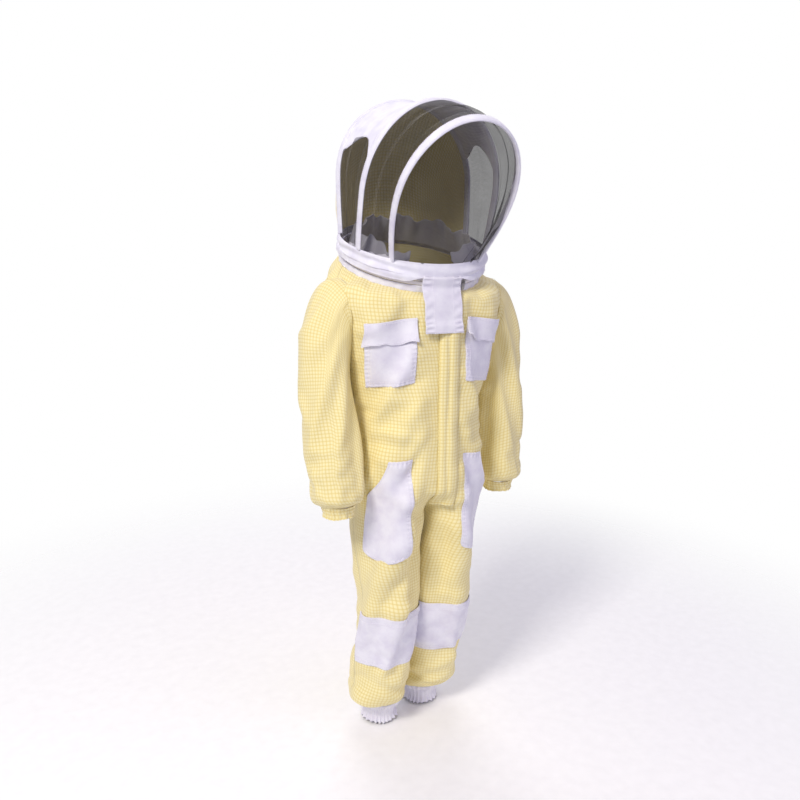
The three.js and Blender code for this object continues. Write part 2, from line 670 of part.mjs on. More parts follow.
const zipGap = THREE.MathUtils.radToDeg((ZIP_HALF + GAP) / NECK_RADIUS);
const zipDegrees = THREE.MathUtils.radToDeg(ZIP_X / NECK_RADIUS);
const facingTop = -TAPE - 2 * GAP;
add(
  "neck_facing",
  neckBar(
    [
      [NECK_RADIUS - 0.4, facingTop],
      [NECK_RADIUS - 0.4 + COTTON, facingTop],
      [NECK_RADIUS + 2, -FACING_DROP],
      [NECK_RADIUS + 2 - COTTON, -FACING_DROP],
    ],
    zipDegrees + zipGap,
    zipDegrees - zipGap + 360,
  ),
  whiteCotton,
);

const neckTape = (sign) => {
  const toothEdge = sign * (ZIP_SPLIT / 2);
  const toothFoot = sign * (ZIP_SPLIT / 2 + 2);
  const tapeEnd = sign * (TAPE - GAP);
  const face = (NECK_RADIUS * 2 + TAPE_THICK) / 2;
  return [
    [face - TEETH / 2, toothEdge],
    [face + TEETH / 2, toothEdge],
    [face + TEETH / 2, toothFoot],
    [face + TAPE_THICK / 2, toothFoot],
    [face + TAPE_THICK / 2, tapeEnd],
    [face - TAPE_THICK / 2, tapeEnd],
    [face - TAPE_THICK / 2, toothFoot],
    [face - TEETH / 2, toothFoot],
  ];
};
add("neck_zip_lower", neckBar(neckTape(-1), -NECK_END, NECK_END), zipTape);
add("neck_zip_upper", neckBar(neckTape(1), -NECK_END, NECK_END), zipTape);

// Each neck slider straddles the lower teeth only, so the hood's half of the zip can lift away from it.
const chord = NECK_RADIUS * (1 - Math.cos(radians(NECK_END / STEPS))); // the zip's flats lie this far in
const neckFace = NECK_RADIUS + TAPE_THICK / 2;
const plateOut = neckFace + TEETH / 2 + SLIDER_PLAY + 0.1;
const plateIn = neckFace - TEETH / 2 - SLIDER_PLAY - chord - 0.1;
const bridge = ZIP_SPLIT / 2 - SLIDER_PLAY;
const skirt = -TAPE + 1;
const neckSliderSection = [
  [plateIn - SLIDER_WALL, bridge],
  [plateOut + SLIDER_WALL, bridge],
  [plateOut + SLIDER_WALL, skirt],
  [plateOut, skirt],
  [plateOut, -bridge],
  [plateIn, -bridge],
  [plateIn, skirt],
  [plateIn - SLIDER_WALL, skirt],
];
for (const [name] of SIDES) {
  const at = SLIDER_AT[name];
  const half = THREE.MathUtils.radToDeg(SLIDER_LONG / 2 / NECK_RADIUS);
  const body = solid(neckBar(neckSliderSection, at - half, at + half, 2));
  const bar = neckPoint(at, plateOut + SLIDER_WALL + CROWN_OUT, -3);
  const across = neckPoint(at + 90, 1, 0).sub(NECK_CENTRE);
  const m = hang(bar, across, neckAxis);
  add(`neck_slider_${name}`, body.add(crown(m)), nickel);
  add(`neck_pull_${name}`, pullTab(m), nickel);
}

// ---------------------------------------------------------------- inner collar
const collar = (u, v) => {
  const d = lerp(28, 332, u);
  const wave = 3 * Math.sin(radians(6 * d)) * v;
  return neckPoint(d, lerp(NECK_RADIUS - 7, NECK_RADIUS - 24, v) + wave, lerp(-10, 48, v));
};
add("inner_collar", sheet(collar, 26, 2, COTTON), whiteCotton);

// ---------------------------------------------------------------- hood band
const bandPoint = (degrees, height, inset = 0) => {
  const a = radians(degrees);
  const t = THREE.MathUtils.clamp((height - TAPE) / (BAND_RISE - TAPE), 0, 1.5);
  const wide = lerp(NECK_RADIUS + 1, BAND_WIDE, t) - inset;
  const deep = lerp(NECK_RADIUS + 1, BAND_DEEP, t) - inset;
  return NECK_CENTRE.clone()
    .addScaledVector(vec(1, 0, 0), wide * Math.sin(a))
    .addScaledVector(neckFront, deep * Math.cos(a))
    .addScaledVector(neckAxis, height);
};
const bandLevels = [TAPE, TAPE + 11, BAND_RISE];
const bandRings = ringAngles(0, 360, STEPS).slice(0, STEPS);
add(
  "hood_band",
  wrap(
    bandRings.map((d) => [
      ...bandLevels.map((h) => bandPoint(d, h)),
      ...bandLevels.map((h) => bandPoint(d, h, COTTON)).reverse(),
    ]),
  ),
  whiteCotton,
);
// The uncut stretch of band and facing between the ends of the zip, at the back.
const neckFrame = new THREE.Matrix4()
  .makeBasis(vec(1, 0, 0), neckFront.clone().negate(), neckAxis)
  .setPosition(NECK_CENTRE);
const aboveBand = block(vec(-BIG, -BIG, BAND_RISE + GAP), vec(BIG, BIG, BIG), neckFrame);

// ---------------------------------------------------------------- hood hoops
// Each hoop: where its feet stand round the band, the top of its arch, half width and height of widest.
const HOOPS = {
  rear: { foot: 108, top: vec(0, 59, 321), wide: BAND_WIDE - 4, waist: 106 },
  middle: { foot: 68, top: vec(0, -99, 306), wide: BAND_WIDE - 7, waist: 100 },
  front: { foot: 38, top: vec(0, -236, 262), wide: BAND_WIDE - 32, waist: 128 },
};
const LEG_SHARE = 0.38; // of a hoop's half length, below its widest place
function hoopFrame({ foot, top }) {
  const left = bandPoint(foot, BAND_RISE);
  const low = vec(0, left.y, left.z);
  const rise = top.clone().sub(low);
  const tall = rise.length();
  const up = rise.normalize();
  return { left, low, up, tall, forward: up.clone().cross(vec(1, 0, 0)).negate() };
}
// The point on a hoop at u, from -1 at the wearer's right foot to 1 at the left, moved forward off it.
function hoopPoint(hoop, u, forward = 0) {
  const f = hoopFrame(hoop);
  const a = Math.abs(u);
  let x;
  let z;
  if (a > 1 - LEG_SHARE) {
    const q = (1 - a) / LEG_SHARE;
    x = f.left.x + (hoop.wide - f.left.x) * Math.sin((q * Math.PI) / 2);
    z = hoop.waist * q;
  } else {
    const t = ((a / (1 - LEG_SHARE)) * Math.PI) / 2;
    x = hoop.wide * Math.sin(t);
    z = hoop.waist + (f.tall - hoop.waist) * Math.cos(t);
  }
  return f.low
    .clone()
    .addScaledVector(vec(1, 0, 0), Math.sign(u) * x)
    .addScaledVector(f.up, z)
    .addScaledVector(f.forward, forward);
}
// A tube of a section [out, forward] along a hoop.
function alongHoop(hoop, section, count) {
  const f = hoopFrame(hoop);
  const end = 1.05;
  const rings = [];
  for (let k = 0; k <= count; k++) {
    const u = lerp(-end, end, k / count);
    const tangent = hoopPoint(hoop, u + 1e-3).sub(hoopPoint(hoop, u - 1e-3)).normalize();
    const out = tangent.clone().cross(f.forward).normalize();
    const at = hoopPoint(hoop, u);
    rings.push(section.map(([o, w]) => at.clone().addScaledVector(out, o).addScaledVector(f.forward, w)));
  }
  return solid(loft(rings));
}
const circle = (radius, count) =>
  Array.from({ length: count }, (_, i) => {
    const a = (2 * Math.PI * i) / count;
    return [radius * Math.cos(a), radius * Math.sin(a)];
  });
const casingOutline = [
  [0, -CASING_HALF],
  [CASING_DEEP, -4],
  [CASING_DEEP, 4],
  [0, CASING_HALF],
  [-CASING_DEEP, 4],
  [-CASING_DEEP, -4],
];
const HOOP_STEPS = 22;
for (const [name, hoop] of Object.entries(HOOPS)) {
  const channel = alongHoop(hoop, circle(HOOP_WIRE + GAP, 6), HOOP_STEPS);
  const casing = alongHoop(hoop, casingOutline, HOOP_STEPS).subtract(channel);
  add(`${name}_hoop_casing`, casing.intersect(aboveBand), whiteCotton);
  const wire = alongHoop(hoop, circle(HOOP_WIRE, 6), HOOP_STEPS);
  add(`${name}_hoop_wire`, wire.intersect(aboveBand), springSteel);
}

// ---------------------------------------------------------------- hood panels and veils
const edge = CASING_HALF + 1;
// The surface between two hoops: u from the wearer's right to left, v from the front hoop to the rear.
const hoodPatch = (front, rear, from, to) => (u, v) => {
  const at = lerp(from(v), to(v), u);
  return hoopPoint(front, at, -edge).lerp(hoopPoint(rear, at, edge), v);
};
const hoodPiece = (point, nu, nv, thickness) =>
  solid(sheet(point, nu, nv, thickness, -thickness / 2)).intersect(aboveBand);
const crownEdge = (v) => 0.5 - 0.1 * Math.sin(Math.PI * v);
const veilGap = 0.004;
const FOOT_END = 1.03;
add(
  "hood_crown",
  hoodPiece(hoodPatch(HOOPS.middle, HOOPS.rear, (v) => -crownEdge(v), crownEdge), 14, 4, COTTON),
  whiteCotton,
);
add(
  "side_veil_right",
  hoodPiece(
    hoodPatch(HOOPS.middle, HOOPS.rear, () => -FOOT_END, (v) => -crownEdge(v) - veilGap),
    8,
    4,
    NET,
  ),
  blackNet,
);
add(
  "side_veil_left",
  hoodPiece(
    hoodPatch(HOOPS.middle, HOOPS.rear, (v) => crownEdge(v) + veilGap, () => FOOT_END),
    8,
    4,
    NET,
  ),
  blackNet,
);
add(
  "middle_veil",
  hoodPiece(hoodPatch(HOOPS.front, HOOPS.middle, () => -FOOT_END, () => FOOT_END), 22, 3, NET),
  blackNet,
);

// The face veil fills the front hoop and comes down to the band between its feet.
const VEIL_BULGE = 10;
const faceVeil = (u, v) => {
  const low = bandPoint(lerp(-HOOPS.front.foot, HOOPS.front.foot, u), BAND_RISE - 4, -1);
  const high = hoopPoint(HOOPS.front, lerp(-FOOT_END, FOOT_END, u), edge);
  const p = low.lerp(high, v);
  return p.addScaledVector(hoopFrame(HOOPS.front).forward, VEIL_BULGE * Math.sin(Math.PI * v));
};
add("face_veil", hoodPiece(faceVeil, 16, 5, NET), blackNet);

// The back of the hood, from the rear hoop down to the band.
const BACK_BULGE = 40;
const hoodBack = (u, v) => {
  const high = hoopPoint(HOOPS.rear, lerp(-FOOT_END, FOOT_END, u), -edge - MESH_CLOTH / 2);
  const low = bandPoint(lerp(-HOOPS.rear.foot - 4, HOOPS.rear.foot + 4 - 360, u), BAND_RISE - 4);
  const swell = BACK_BULGE * Math.sin(Math.PI * v) * (1 - (2 * u - 1) ** 4);
  return high.lerp(low, v).add(vec(0, swell, 0.2 * swell));
};
add("hood_back_panel", hoodPiece(hoodBack, 16, 5, MESH_CLOTH), ventilatedCloth);

// ---------------------------------------------------------------- neck flap
const FLAP_TOP = 38; // half widths
const FLAP_LOW = 41;
const FLAP_END = -100;
const FLAP_CLEAR = 9.5; // over the neck sliders and their pulls
const FLAP_ROWS = [
  { height: 12, off: 3 },
  { height: 9, off: FLAP_CLEAR },
  { height: -8, off: FLAP_CLEAR },
  { z: ZIP_TOP, off: 7 },
  { z: FLY_TOP + 14, off: 8 },
  { z: FLY_TOP + 3, off: FLY_RISE + 6 },
  { z: FLAP_END, off: FLY_RISE + 6 },
];
// From the band above the zip it steps out over the sliders, then hangs down the front.
const neckFlap = (u, v) => {
  const t = (1 - v) * (FLAP_ROWS.length - 1);
  const k = Math.min(Math.floor(t), FLAP_ROWS.length - 2);
  const x = lerp(-1, 1, u) * lerp(FLAP_LOW, FLAP_TOP, v);
  const degrees = THREE.MathUtils.radToDeg(Math.asin(x / NECK_RADIUS));
  const [high, low] = [FLAP_ROWS[k], FLAP_ROWS[k + 1]].map(({ height, z, off }) =>
    z === undefined ? neckPoint(degrees, NECK_RADIUS + off, height) : frontPoint(x, z).add(vec(0, -off, 0)),
  );
  return high.lerp(low, t - k);
};
add("neck_flap", sheet(neckFlap, 6, FLAP_ROWS.length - 1, COTTON), whiteCotton);

export default suit;
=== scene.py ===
"""A child's ventilated beekeeping coverall with its zip-on hood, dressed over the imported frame.

Lengths are millimetres in the pattern tables and metres in every mesh.
"""

import math

import bpy
import numpy as np
from mathutils import Matrix, Vector, noise
from mathutils.bvhtree import BVHTree


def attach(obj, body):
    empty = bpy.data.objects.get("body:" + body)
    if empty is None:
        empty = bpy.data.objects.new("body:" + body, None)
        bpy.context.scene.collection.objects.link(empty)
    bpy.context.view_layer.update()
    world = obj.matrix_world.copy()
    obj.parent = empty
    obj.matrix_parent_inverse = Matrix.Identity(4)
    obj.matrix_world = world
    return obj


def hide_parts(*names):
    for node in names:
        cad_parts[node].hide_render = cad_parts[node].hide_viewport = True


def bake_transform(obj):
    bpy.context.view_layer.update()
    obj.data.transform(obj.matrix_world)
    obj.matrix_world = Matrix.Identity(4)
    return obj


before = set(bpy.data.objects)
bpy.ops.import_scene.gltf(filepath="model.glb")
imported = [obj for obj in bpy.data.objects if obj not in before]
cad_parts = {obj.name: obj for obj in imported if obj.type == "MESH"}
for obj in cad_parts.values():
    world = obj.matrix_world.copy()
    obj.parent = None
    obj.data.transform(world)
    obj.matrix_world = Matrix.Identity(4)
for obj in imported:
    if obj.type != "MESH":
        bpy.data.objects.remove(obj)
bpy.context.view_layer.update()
MM = 0.001

# -------------------- camera
YAW, PITCH, ROLL = math.radians(-25.1), math.radians(13.1), math.radians(1.57)


def make_camera():
    forward = Vector(
        (-math.sin(YAW) * math.cos(PITCH), math.cos(YAW) * math.cos(PITCH), -math.sin(PITCH))
    )
    level = Vector((math.cos(YAW), math.sin(YAW), 0))
    upright = level.cross(forward)
    right = level * math.cos(ROLL) + upright * math.sin(ROLL)
    up = upright * math.cos(ROLL) - level * math.sin(ROLL)
    camera = bpy.data.objects.new("camera", bpy.data.cameras.new("camera"))
    camera.matrix_world = Matrix.Translation((-0.660, -1.363, 0.098)) @ Matrix(
        (right, up, -forward)
    ).transposed().to_4x4()
    camera.data.lens = 34.6
    camera.data.sensor_width = 36
    camera.data.clip_start = 0.05
    bpy.context.scene.collection.objects.link(camera)
    bpy.context.scene.camera = camera


make_camera()


# -------------------- materials
def linear(hex_colour):
    """An sRGB hex colour as linear RGBA."""
    parts = [int(hex_colour[i : i + 2], 16) / 255 for i in (1, 3, 5)]
    return [c / 12.92 if c <= 0.04045 else ((c + 0.055) / 1.055) ** 2.4 for c in parts] + [1]


def add(tree, kind, links=None, **settings):
    """Adds a node; settings are its properties, or its inputs by number (i0) or name; links feed inputs."""
    node = tree.nodes.new(kind)
    for key, value in settings.items():
        if key[0] == "i" and key[1:].isdigit():
            node.inputs[int(key[1:])].default_value = value
        elif hasattr(node, key):
            setattr(node, key, value)
        else:
            node.inputs[key.replace("_", " ")].default_value = value
    for key, socket in (links or {}).items():
        tree.links.new(socket, node.inputs[key])
    return node


def new_material(name, **surface):
    """A material with a Principled surface set on its own sockets."""
    material = bpy.data.materials.new(name)
    material.use_nodes = True
    tree = material.node_tree
    bsdf = tree.nodes["Principled BSDF"]
    for key, value in surface.items():
        bsdf.inputs[key.replace("_", " ")].default_value = value
    return material, tree, bsdf


def math_node(tree, operation, *values):
    node = add(tree, "ShaderNodeMath", operation=operation)
    for i, v in enumerate(values):
        if isinstance(v, bpy.types.NodeSocket):
            tree.links.new(v, node.inputs[i])
        else:
            node.inputs[i].default_value = v
    return node.outputs[0]


def ramp(tree, factor, stops):
    node = add(tree, "ShaderNodeValToRGB", {0: factor})
    for element, (place, colour) in zip(node.color_ramp.elements, stops):
        element.position, element.color = place, linear(colour)
    for place, colour in stops[2:]:
        node.color_ramp.elements.new(place).color = linear(colour)
    return node.outputs[0]


CHECK = 6.6 * MM  # from one quilted cell of the ventilated cloth to the next


def ventilated_cloth(name, dark, light, puff):
    """Three-layer ventilated knit: small puffed cells between sunk lines, matt and faintly fuzzy."""
    material, tree, bsdf = new_material(name, Roughness=0.88, Sheen_Weight=0.25, Sheen_Roughness=0.5)
    uv = add(tree, "ShaderNodeTexCoord").outputs["UV"]
    x, y, _ = add(tree, "ShaderNodeSeparateXYZ", {0: uv}).outputs
    waves = []
    for axis in (x, y):
        wave = math_node(tree, "SINE", math_node(tree, "MULTIPLY", axis, math.pi / CHECK))
        waves.append(math_node(tree, "ABSOLUTE", wave))
    cell = math_node(tree, "POWER", math_node(tree, "MULTIPLY", *waves), 0.45)
    fibre = add(tree, "ShaderNodeTexNoise", {"Vector": uv}, Scale=1 / (0.9 * MM), Detail=2.0)
    blotch = add(tree, "ShaderNodeTexNoise", {"Vector": uv}, Scale=14.0, Detail=3.0)
    # the colour is darker in the sunk lines and lighter on the puffs: partly the knit's own pattern, partly
    # painted shade in the grooves and painted light on the puffs
    tone_and_shade = math_node(tree, "MULTIPLY_ADD", fibre.outputs[0], 0.22, math_node(tree, "SUBTRACT", cell, 0.11))
    tone_and_shade = math_node(tree, "MULTIPLY_ADD", blotch.outputs[0], 0.24, math_node(tree, "SUBTRACT", tone_and_shade, 0.12))
    tree.links.new(ramp(tree, tone_and_shade, [(0.0, dark), (1.0, puff), (0.5, light)]), bsdf.inputs["Base Color"])
    height = math_node(tree, "MULTIPLY_ADD", fibre.outputs[0], 0.2, cell)
    bump = add(tree, "ShaderNodeBump", {"Height": height}, Strength=0.5, Distance=0.6 * MM)
    tree.links.new(bump.outputs[0], bsdf.inputs["Normal"])
    return material


def cotton(name, light, shade, sheen):
    """Poly-cotton twill, pressed: fine diagonal ribs and soft creases, with the faint shine of polyester."""
    material, tree, bsdf = new_material(name, Roughness=0.72, Sheen_Weight=sheen, Sheen_Roughness=0.4)
    coords = add(tree, "ShaderNodeTexCoord").outputs["Object"]
    # the twill's ribs are 0.4 mm apart; they are drawn at 1.3 mm so that they show
    turned = add(tree, "ShaderNodeMapping", {0: coords}, i2=(0.0, math.radians(38), 0.0))
    ribs = add(tree, "ShaderNodeTexWave", {"Vector": turned.outputs[0]}, Scale=0.5 / (1.3 * MM) / math.pi)
    crease = add(tree, "ShaderNodeTexNoise", {"Vector": coords}, Scale=38.0, Detail=4.0, Roughness=0.55)
    # painted shade: the same noise that raises the creases darkens the colour towards the shade colour in
    # them
    tree.links.new(ramp(tree, crease.outputs[0], [(0.32, shade), (0.62, light)]), bsdf.inputs["Base Color"])
    height = math_node(tree, "MULTIPLY_ADD", ribs.outputs[1], 0.06, crease.outputs[0])
    bump = add(tree, "ShaderNodeBump", {"Height": height}, Strength=0.35, Distance=2.0 * MM)
    tree.links.new(bump.outputs[0], bsdf.inputs["Normal"])
    return material


def veil_net(name, colour, cover):
    """Black polyester net, knitted with open holes: its share of thread hides what is behind it."""
    material, tree, bsdf = new_material(name, Roughness=0.65, Sheen_Weight=0.15)
    uv = add(tree, "ShaderNodeTexCoord").outputs["UV"]
    x, y, _ = add(tree, "ShaderNodeSeparateXYZ", {0: uv}).outputs
    # the net's holes are 1.4 mm apart; they are drawn at 2.4 mm
    pitch = math.pi / (2.4 * MM)
    threads = [
        math_node(tree, "ABSOLUTE", math_node(tree, "COSINE", math_node(tree, "MULTIPLY", axis, pitch)))
        for axis in (x, y)
    ]
    thread = math_node(tree, "MAXIMUM", *threads)
    streak = add(tree, "ShaderNodeTexNoise", {"Vector": uv}, Scale=9.0, Detail=2.0)
    loose = math_node(tree, "MULTIPLY_ADD", streak.outputs[0], 0.2, cover - 0.26)
    alpha = math_node(tree, "MULTIPLY_ADD", math_node(tree, "POWER", thread, 3.0), 0.3, loose)
    bsdf.inputs["Base Color"].default_value = linear(colour)
    tree.links.new(alpha, bsdf.inputs["Alpha"])
    return material


def plain(name, colour, bump_scale, bump_mm, **surface):
    """A moulded, cast or woven trim with a fine surface grain."""
    material, tree, bsdf = new_material(name, **surface)
    coords = add(tree, "ShaderNodeTexCoord").outputs["Object"]
    grain = add(tree, "ShaderNodeTexNoise", {"Vector": coords}, Scale=bump_scale, Detail=3.0)
    low = linear(colour)
    high = [min(1, c * 1.12) for c in low[:3]] + [1]
    node = add(tree, "ShaderNodeMix", {0: grain.outputs[0]}, data_type="RGBA")
    node.inputs[6].default_value, node.inputs[7].default_value = low, high
    tree.links.new(node.outputs[2], bsdf.inputs["Base Color"])
    bump = add(tree, "ShaderNodeBump", {"Height": grain.outputs[0]}, Strength=0.4, Distance=bump_mm * MM)
    tree.links.new(bump.outputs[0], bsdf.inputs["Normal"])
    return material


# small soft cells, matt and faintly fuzzy; the darker lines and lighter puffs are partly the knit's own
# pattern and partly painted shade and painted light
YELLOW = ventilated_cloth("three-layer ventilated knit, yellow", "#e2cc86", "#ecdd9a", "#f7edbd")
# flat and matt with fine ribs and pressed creases; its second colour is painted shade in the creases
WHITE = cotton("poly-cotton twill, bleached and pressed", "#e9e8f1", "#dddae8", 0.2)
# smoother and a little shinier than the twill; its second colour is painted shade in the creases
SATIN = cotton("poly-cotton sateen, calendered", "#ebebf4", "#dcdaea", 0.4)
# a dark see-through veil, uneven where it is slack
NET = veil_net("warp-knitted polyester net, black", "#12110f", 0.5)
# a dry, tight weave
TAPE = plain("zip tape, woven polyester", "#ece9f2", 900, 0.2, Roughness=0.8)
# small clear highlights on each tooth
TEETH = plain("zip teeth, moulded acetal", "#e6e4e8", 700, 0.05, Roughness=0.35)
# bright, with a slight cast grain
NICKEL = plain("zinc die-casting, nickel plated", "#b4b2ae", 1500, 0.02, Roughness=0.28, Metallic=1.0)
# dark and dull with an oily gleam
STEEL = plain("spring wire, tempered and oiled", "#6f7072", 1200, 0.02, Roughness=0.35, Metallic=1.0)
# a ribbed, rubbery matt
ELASTIC = plain("braided elastic", "#dedae6", 1100, 0.3, Roughness=0.85)
# a faint shine on each raised stitch
THREAD = plain("spun polyester thread", "#efecf6", 2500, 0.05, Roughness=0.6)
GOLD_THREAD = plain("spun polyester thread, dyed", "#dcc981", 2500, 0.05, Roughness=0.6)


# -------------------- meshes
def lerp(a, b, t):
    return a + (b - a) * t


def hump(share):
    """0 at a share of 0, 1 in the middle and 0 again at a share of 1."""
    return np.sin(math.pi * share)


def bell(at, middle, wide):
    return np.exp(-(((at - middle) / wide) ** 2))


def shares(across, down, indexing="xy"):
    """Two grids of numbers, each given by its first, last and count."""
    return np.meshgrid(np.linspace(*across), np.linspace(*down), indexing=indexing)


def link(name, mesh):
    obj = bpy.data.objects.new(name, mesh)
    bpy.context.scene.collection.objects.link(obj)
    return obj


def grid_faces(rows, cols, around=False):
    """Quads of a grid of vertices; around joins the last column to the first."""
    last = cols if around else cols - 1
    i, j = np.meshgrid(np.arange(rows - 1), np.arange(last), indexing="ij")
    k = (j + 1) % cols
    return np.stack([i * cols + j, (i + 1) * cols + j, (i + 1) * cols + k, i * cols + k], -1).reshape(-1, 4)


def set_uv(mesh, uv):
    """Gives each corner the pattern coordinates of its vertex, in metres."""
    layer = mesh.uv_layers.new(name="cloth")
    corner = np.empty(len(mesh.loops), np.int32)
    mesh.loops.foreach_get("vertex_index", corner)
    layer.data.foreach_set("uv", uv[corner].astype(np.float32).ravel())


def build(name, points, faces, uv, material, flip=False):
    """An object from points in millimetres, smooth shaded."""
    faces = np.asarray(faces)
    if flip:
        faces = faces[:, ::-1]
    mesh = bpy.data.meshes.new(name)
    mesh.from_pydata((np.asarray(points) * MM).tolist(), [], faces.tolist())
    set_uv(mesh, np.asarray(uv))
    mesh.polygons.foreach_set("use_smooth", [True] * len(mesh.polygons))
    mesh.materials.append(material)
    mesh.update()
    return link(name, mesh)


def steps(points, axis):
    """Distance along a grid from its first row (axis 0) or column (axis 1), in metres."""
    gaps = np.linalg.norm(np.diff(points, axis=axis), axis=2) * MM
    return np.concatenate([np.zeros_like(np.take(gaps, [0], axis)), np.cumsum(gaps, axis)], axis)


def cloth(name, points, material, flip=False, around=False, origin=0.5):
    """A grid of points as a cloth: rows run down it and columns across it."""
    rows, cols, _ = points.shape
    across = steps(points, 1)
    across = across - across[:, [int((cols - 1) * origin)]]
    down = np.broadcast_to(steps(points, 0)[:, [cols // 2]], across.shape)
    uv = np.stack([across, down], -1).reshape(-1, 2)
    return build(name, points.reshape(-1, 3), grid_faces(rows, cols, around), uv, material, flip)


def applied(obj):
    """The object with its modifiers applied."""
    bpy.context.view_layer.update()
    evaluated = obj.evaluated_get(bpy.context.evaluated_depsgraph_get())
    mesh = bpy.data.meshes.new_from_object(evaluated)
    old = obj.data
    obj.modifiers.clear()
    obj.data = mesh
    bpy.data.meshes.remove(old)
    mesh.name = obj.name
    return obj


def finished(obj, thick=0.0, levels=0, outwards=False):
    """Gives a cloth its thickness in millimetres, inwards unless told, and smooths it."""
    if levels:
        smooth = obj.modifiers.new("smooth", "SUBSURF")
        smooth.levels = smooth.render_levels = levels
    if thick:
        wall = obj.modifiers.new("wall", "SOLIDIFY")
        wall.thickness, wall.offset = thick * MM, 1 if outwards else -1
    return applied(obj) if levels or thick else obj


def spline(rings, spacing):
    """Smooth columns through a stack of rings (rings, points, 3), a row about every spacing millimetres."""
    rings = np.asarray(rings, float)
    gaps = np.linalg.norm(np.diff(rings, axis=0), axis=2).mean(1)
    knots = np.concatenate([[0], np.cumsum(gaps)])
    slopes = np.gradient(rings, knots, axis=0)
    places = np.linspace(0, knots[-1], max(2, round(knots[-1] / spacing) + 1))
    k = np.clip(np.searchsorted(knots, places, side="right") - 1, 0, len(knots) - 2)
    h = (knots[k + 1] - knots[k])[:, None, None]
    t = ((places - knots[k])[:, None, None]) / h
    a, b, m, n = rings[k], rings[k + 1], slopes[k] * h, slopes[k + 1] * h
    start, end = (2 * t**3 - 3 * t**2 + 1) * a, (3 * t**2 - 2 * t**3) * b
    return start + (t**3 - 2 * t**2 + t) * m + end + (t**3 - t**2) * n


def crumple(obj, spare, held, frames, bending=4.0, pull=1.0):
    """Lets cloth that is cut a little too big for its shape settle into folds.

    spare is the extra size as a share; held gives each vertex's hold on its place, 1 for sewn down."""
    group = obj.vertex_groups.new(name="held")
    for index, weight in enumerate(held):
        group.add([index], float(weight), "REPLACE")
    modifier = obj.modifiers.new("cloth", "CLOTH")
    settings = modifier.settings
    settings.quality = 5
    settings.mass = 0.25
    settings.tension_stiffness = settings.compression_stiffness = 18
    settings.shear_stiffness = 8
    settings.bending_stiffness = bending
    settings.shrink_min = -spare
    settings.vertex_group_mass = "held"
    settings.pin_stiffness = pull
    settings.effector_weights.gravity = 0.5
    modifier.collision_settings.use_collision = False
    modifier.point_cache.frame_start, modifier.point_cache.frame_end = 1, frames
    scene = bpy.context.scene
    for number in range(1, frames + 1):
        scene.frame_set(number)
    applied(obj)
    scene.frame_set(1)
    obj.vertex_groups.clear()
    return obj


def vertices(obj):
    co = np.empty(len(obj.data.vertices) * 3)
    obj.data.vertices.foreach_get("co", co)
    return co.reshape(-1, 3)


# -------------------- the coverall's pattern
NECK_RADIUS, NECK_TILT, NECK_CENTRE = 136, math.radians(17), np.array((0, 14, 32.0))
NECK_AXIS = np.array((0, -math.sin(NECK_TILT), math.cos(NECK_TILT)))
NECK_FRONT = np.array((0, -math.cos(NECK_TILT), -math.sin(NECK_TILT)))
RIGHT_TO_LEFT = np.array((1.0, 0, 0))
FACING_DROP, BAND_RISE, TAPE_WIDE = 21, 30, 8
CROTCH, WAIST, LEG_HEM, STRIDE = -452, -290, -906, 15
FRONT_TOP, FRONT_LEAN, ZIP_TOP, ZIP_FOOT = -124, 0.055, -46, -404
SIDES = (("right", -1), ("left", 1))

SEAM = np.array([(200, 3), (CROTCH, -22), (-665, -45), (-780, -27), (LEG_HEM, 4), (-1000, 4)], float)[::-1]
# height, half width and back depth of the trunk; its front follows the straight front line
TRUNK = [
    (-46, 174, 126), (-90, 164, 118), (-135, 150, 108), (-180, 140, 99), (-240, 129, 90),
    (WAIST, 124, 86), (-345, 129, 97), (-400, 134, 106), (-430, 134, 104), (-462, 128, 98),
]
# height, half width, front and back depth of a trouser leg
LEG = [
    (-400, 63, 116, 104), (-462, 64, 106, 100), (-520, 61, 94, 80), (-600, 60, 78, 68), (-665, 60, 68, 66),
    (-725, 59, 64, 62), (-780, 59, 62, 58), (-845, 60, 60, 58), (-885, 61, 61, 60), (LEG_HEM, 52, 52, 51),
]
# centre, direction, half width across and half depth of the wearer's left sleeve
SLEEVE = [
    ((118, 0, -62), (0.97, 0, -0.25), 62, 70), ((158, -2, -76), (0.86, 0, -0.5), 62, 66),
    ((180, -6, -112), (0.42, -0.05, -0.9), 52, 61), ((190, -12, -170), (0.06, -0.08, -1), 45, 58),
    ((190, -22, -240), (-0.02, -0.12, -1), 48, 57), ((187, -34, -310), (-0.03, -0.16, -1), 50, 56),
    ((185, -44, -372), (-0.02, -0.15, -1), 50, 55), ((184, -51, -412), (0, -0.12, -1), 47, 50),
    ((184, -54, -436), (0, -0.1, -1), 33, 35), ((184, -55.5, -450), (0, -0.1, -1), 29, 29),
]
SHOULDER = Vector((160, 0, -45))
ARM_REST = {"right": (5, 0), "left": (-3, 2)}  # degrees forward, and away from the body


def seam_y(z, side):
    lean = np.clip((z - CROTCH) / (LEG_HEM - CROTCH), 0, 1) * STRIDE * side
    return np.interp(z, SEAM[:, 0], SEAM[:, 1]) + lean


def front_y(z):
    return FRONT_TOP + FRONT_LEAN * (z - ZIP_TOP)


def neck_point(degrees, radius, height):
    a = np.radians(np.asarray(degrees, float))[..., None]
    radius, height = np.asarray(radius, float)[..., None], np.asarray(height, float)[..., None]
    return NECK_CENTRE + radius * (RIGHT_TO_LEFT * np.sin(a) + NECK_FRONT * np.cos(a)) + NECK_AXIS * height


def soft(v, power=0.8):
    return np.sign(v) * np.abs(v) ** power


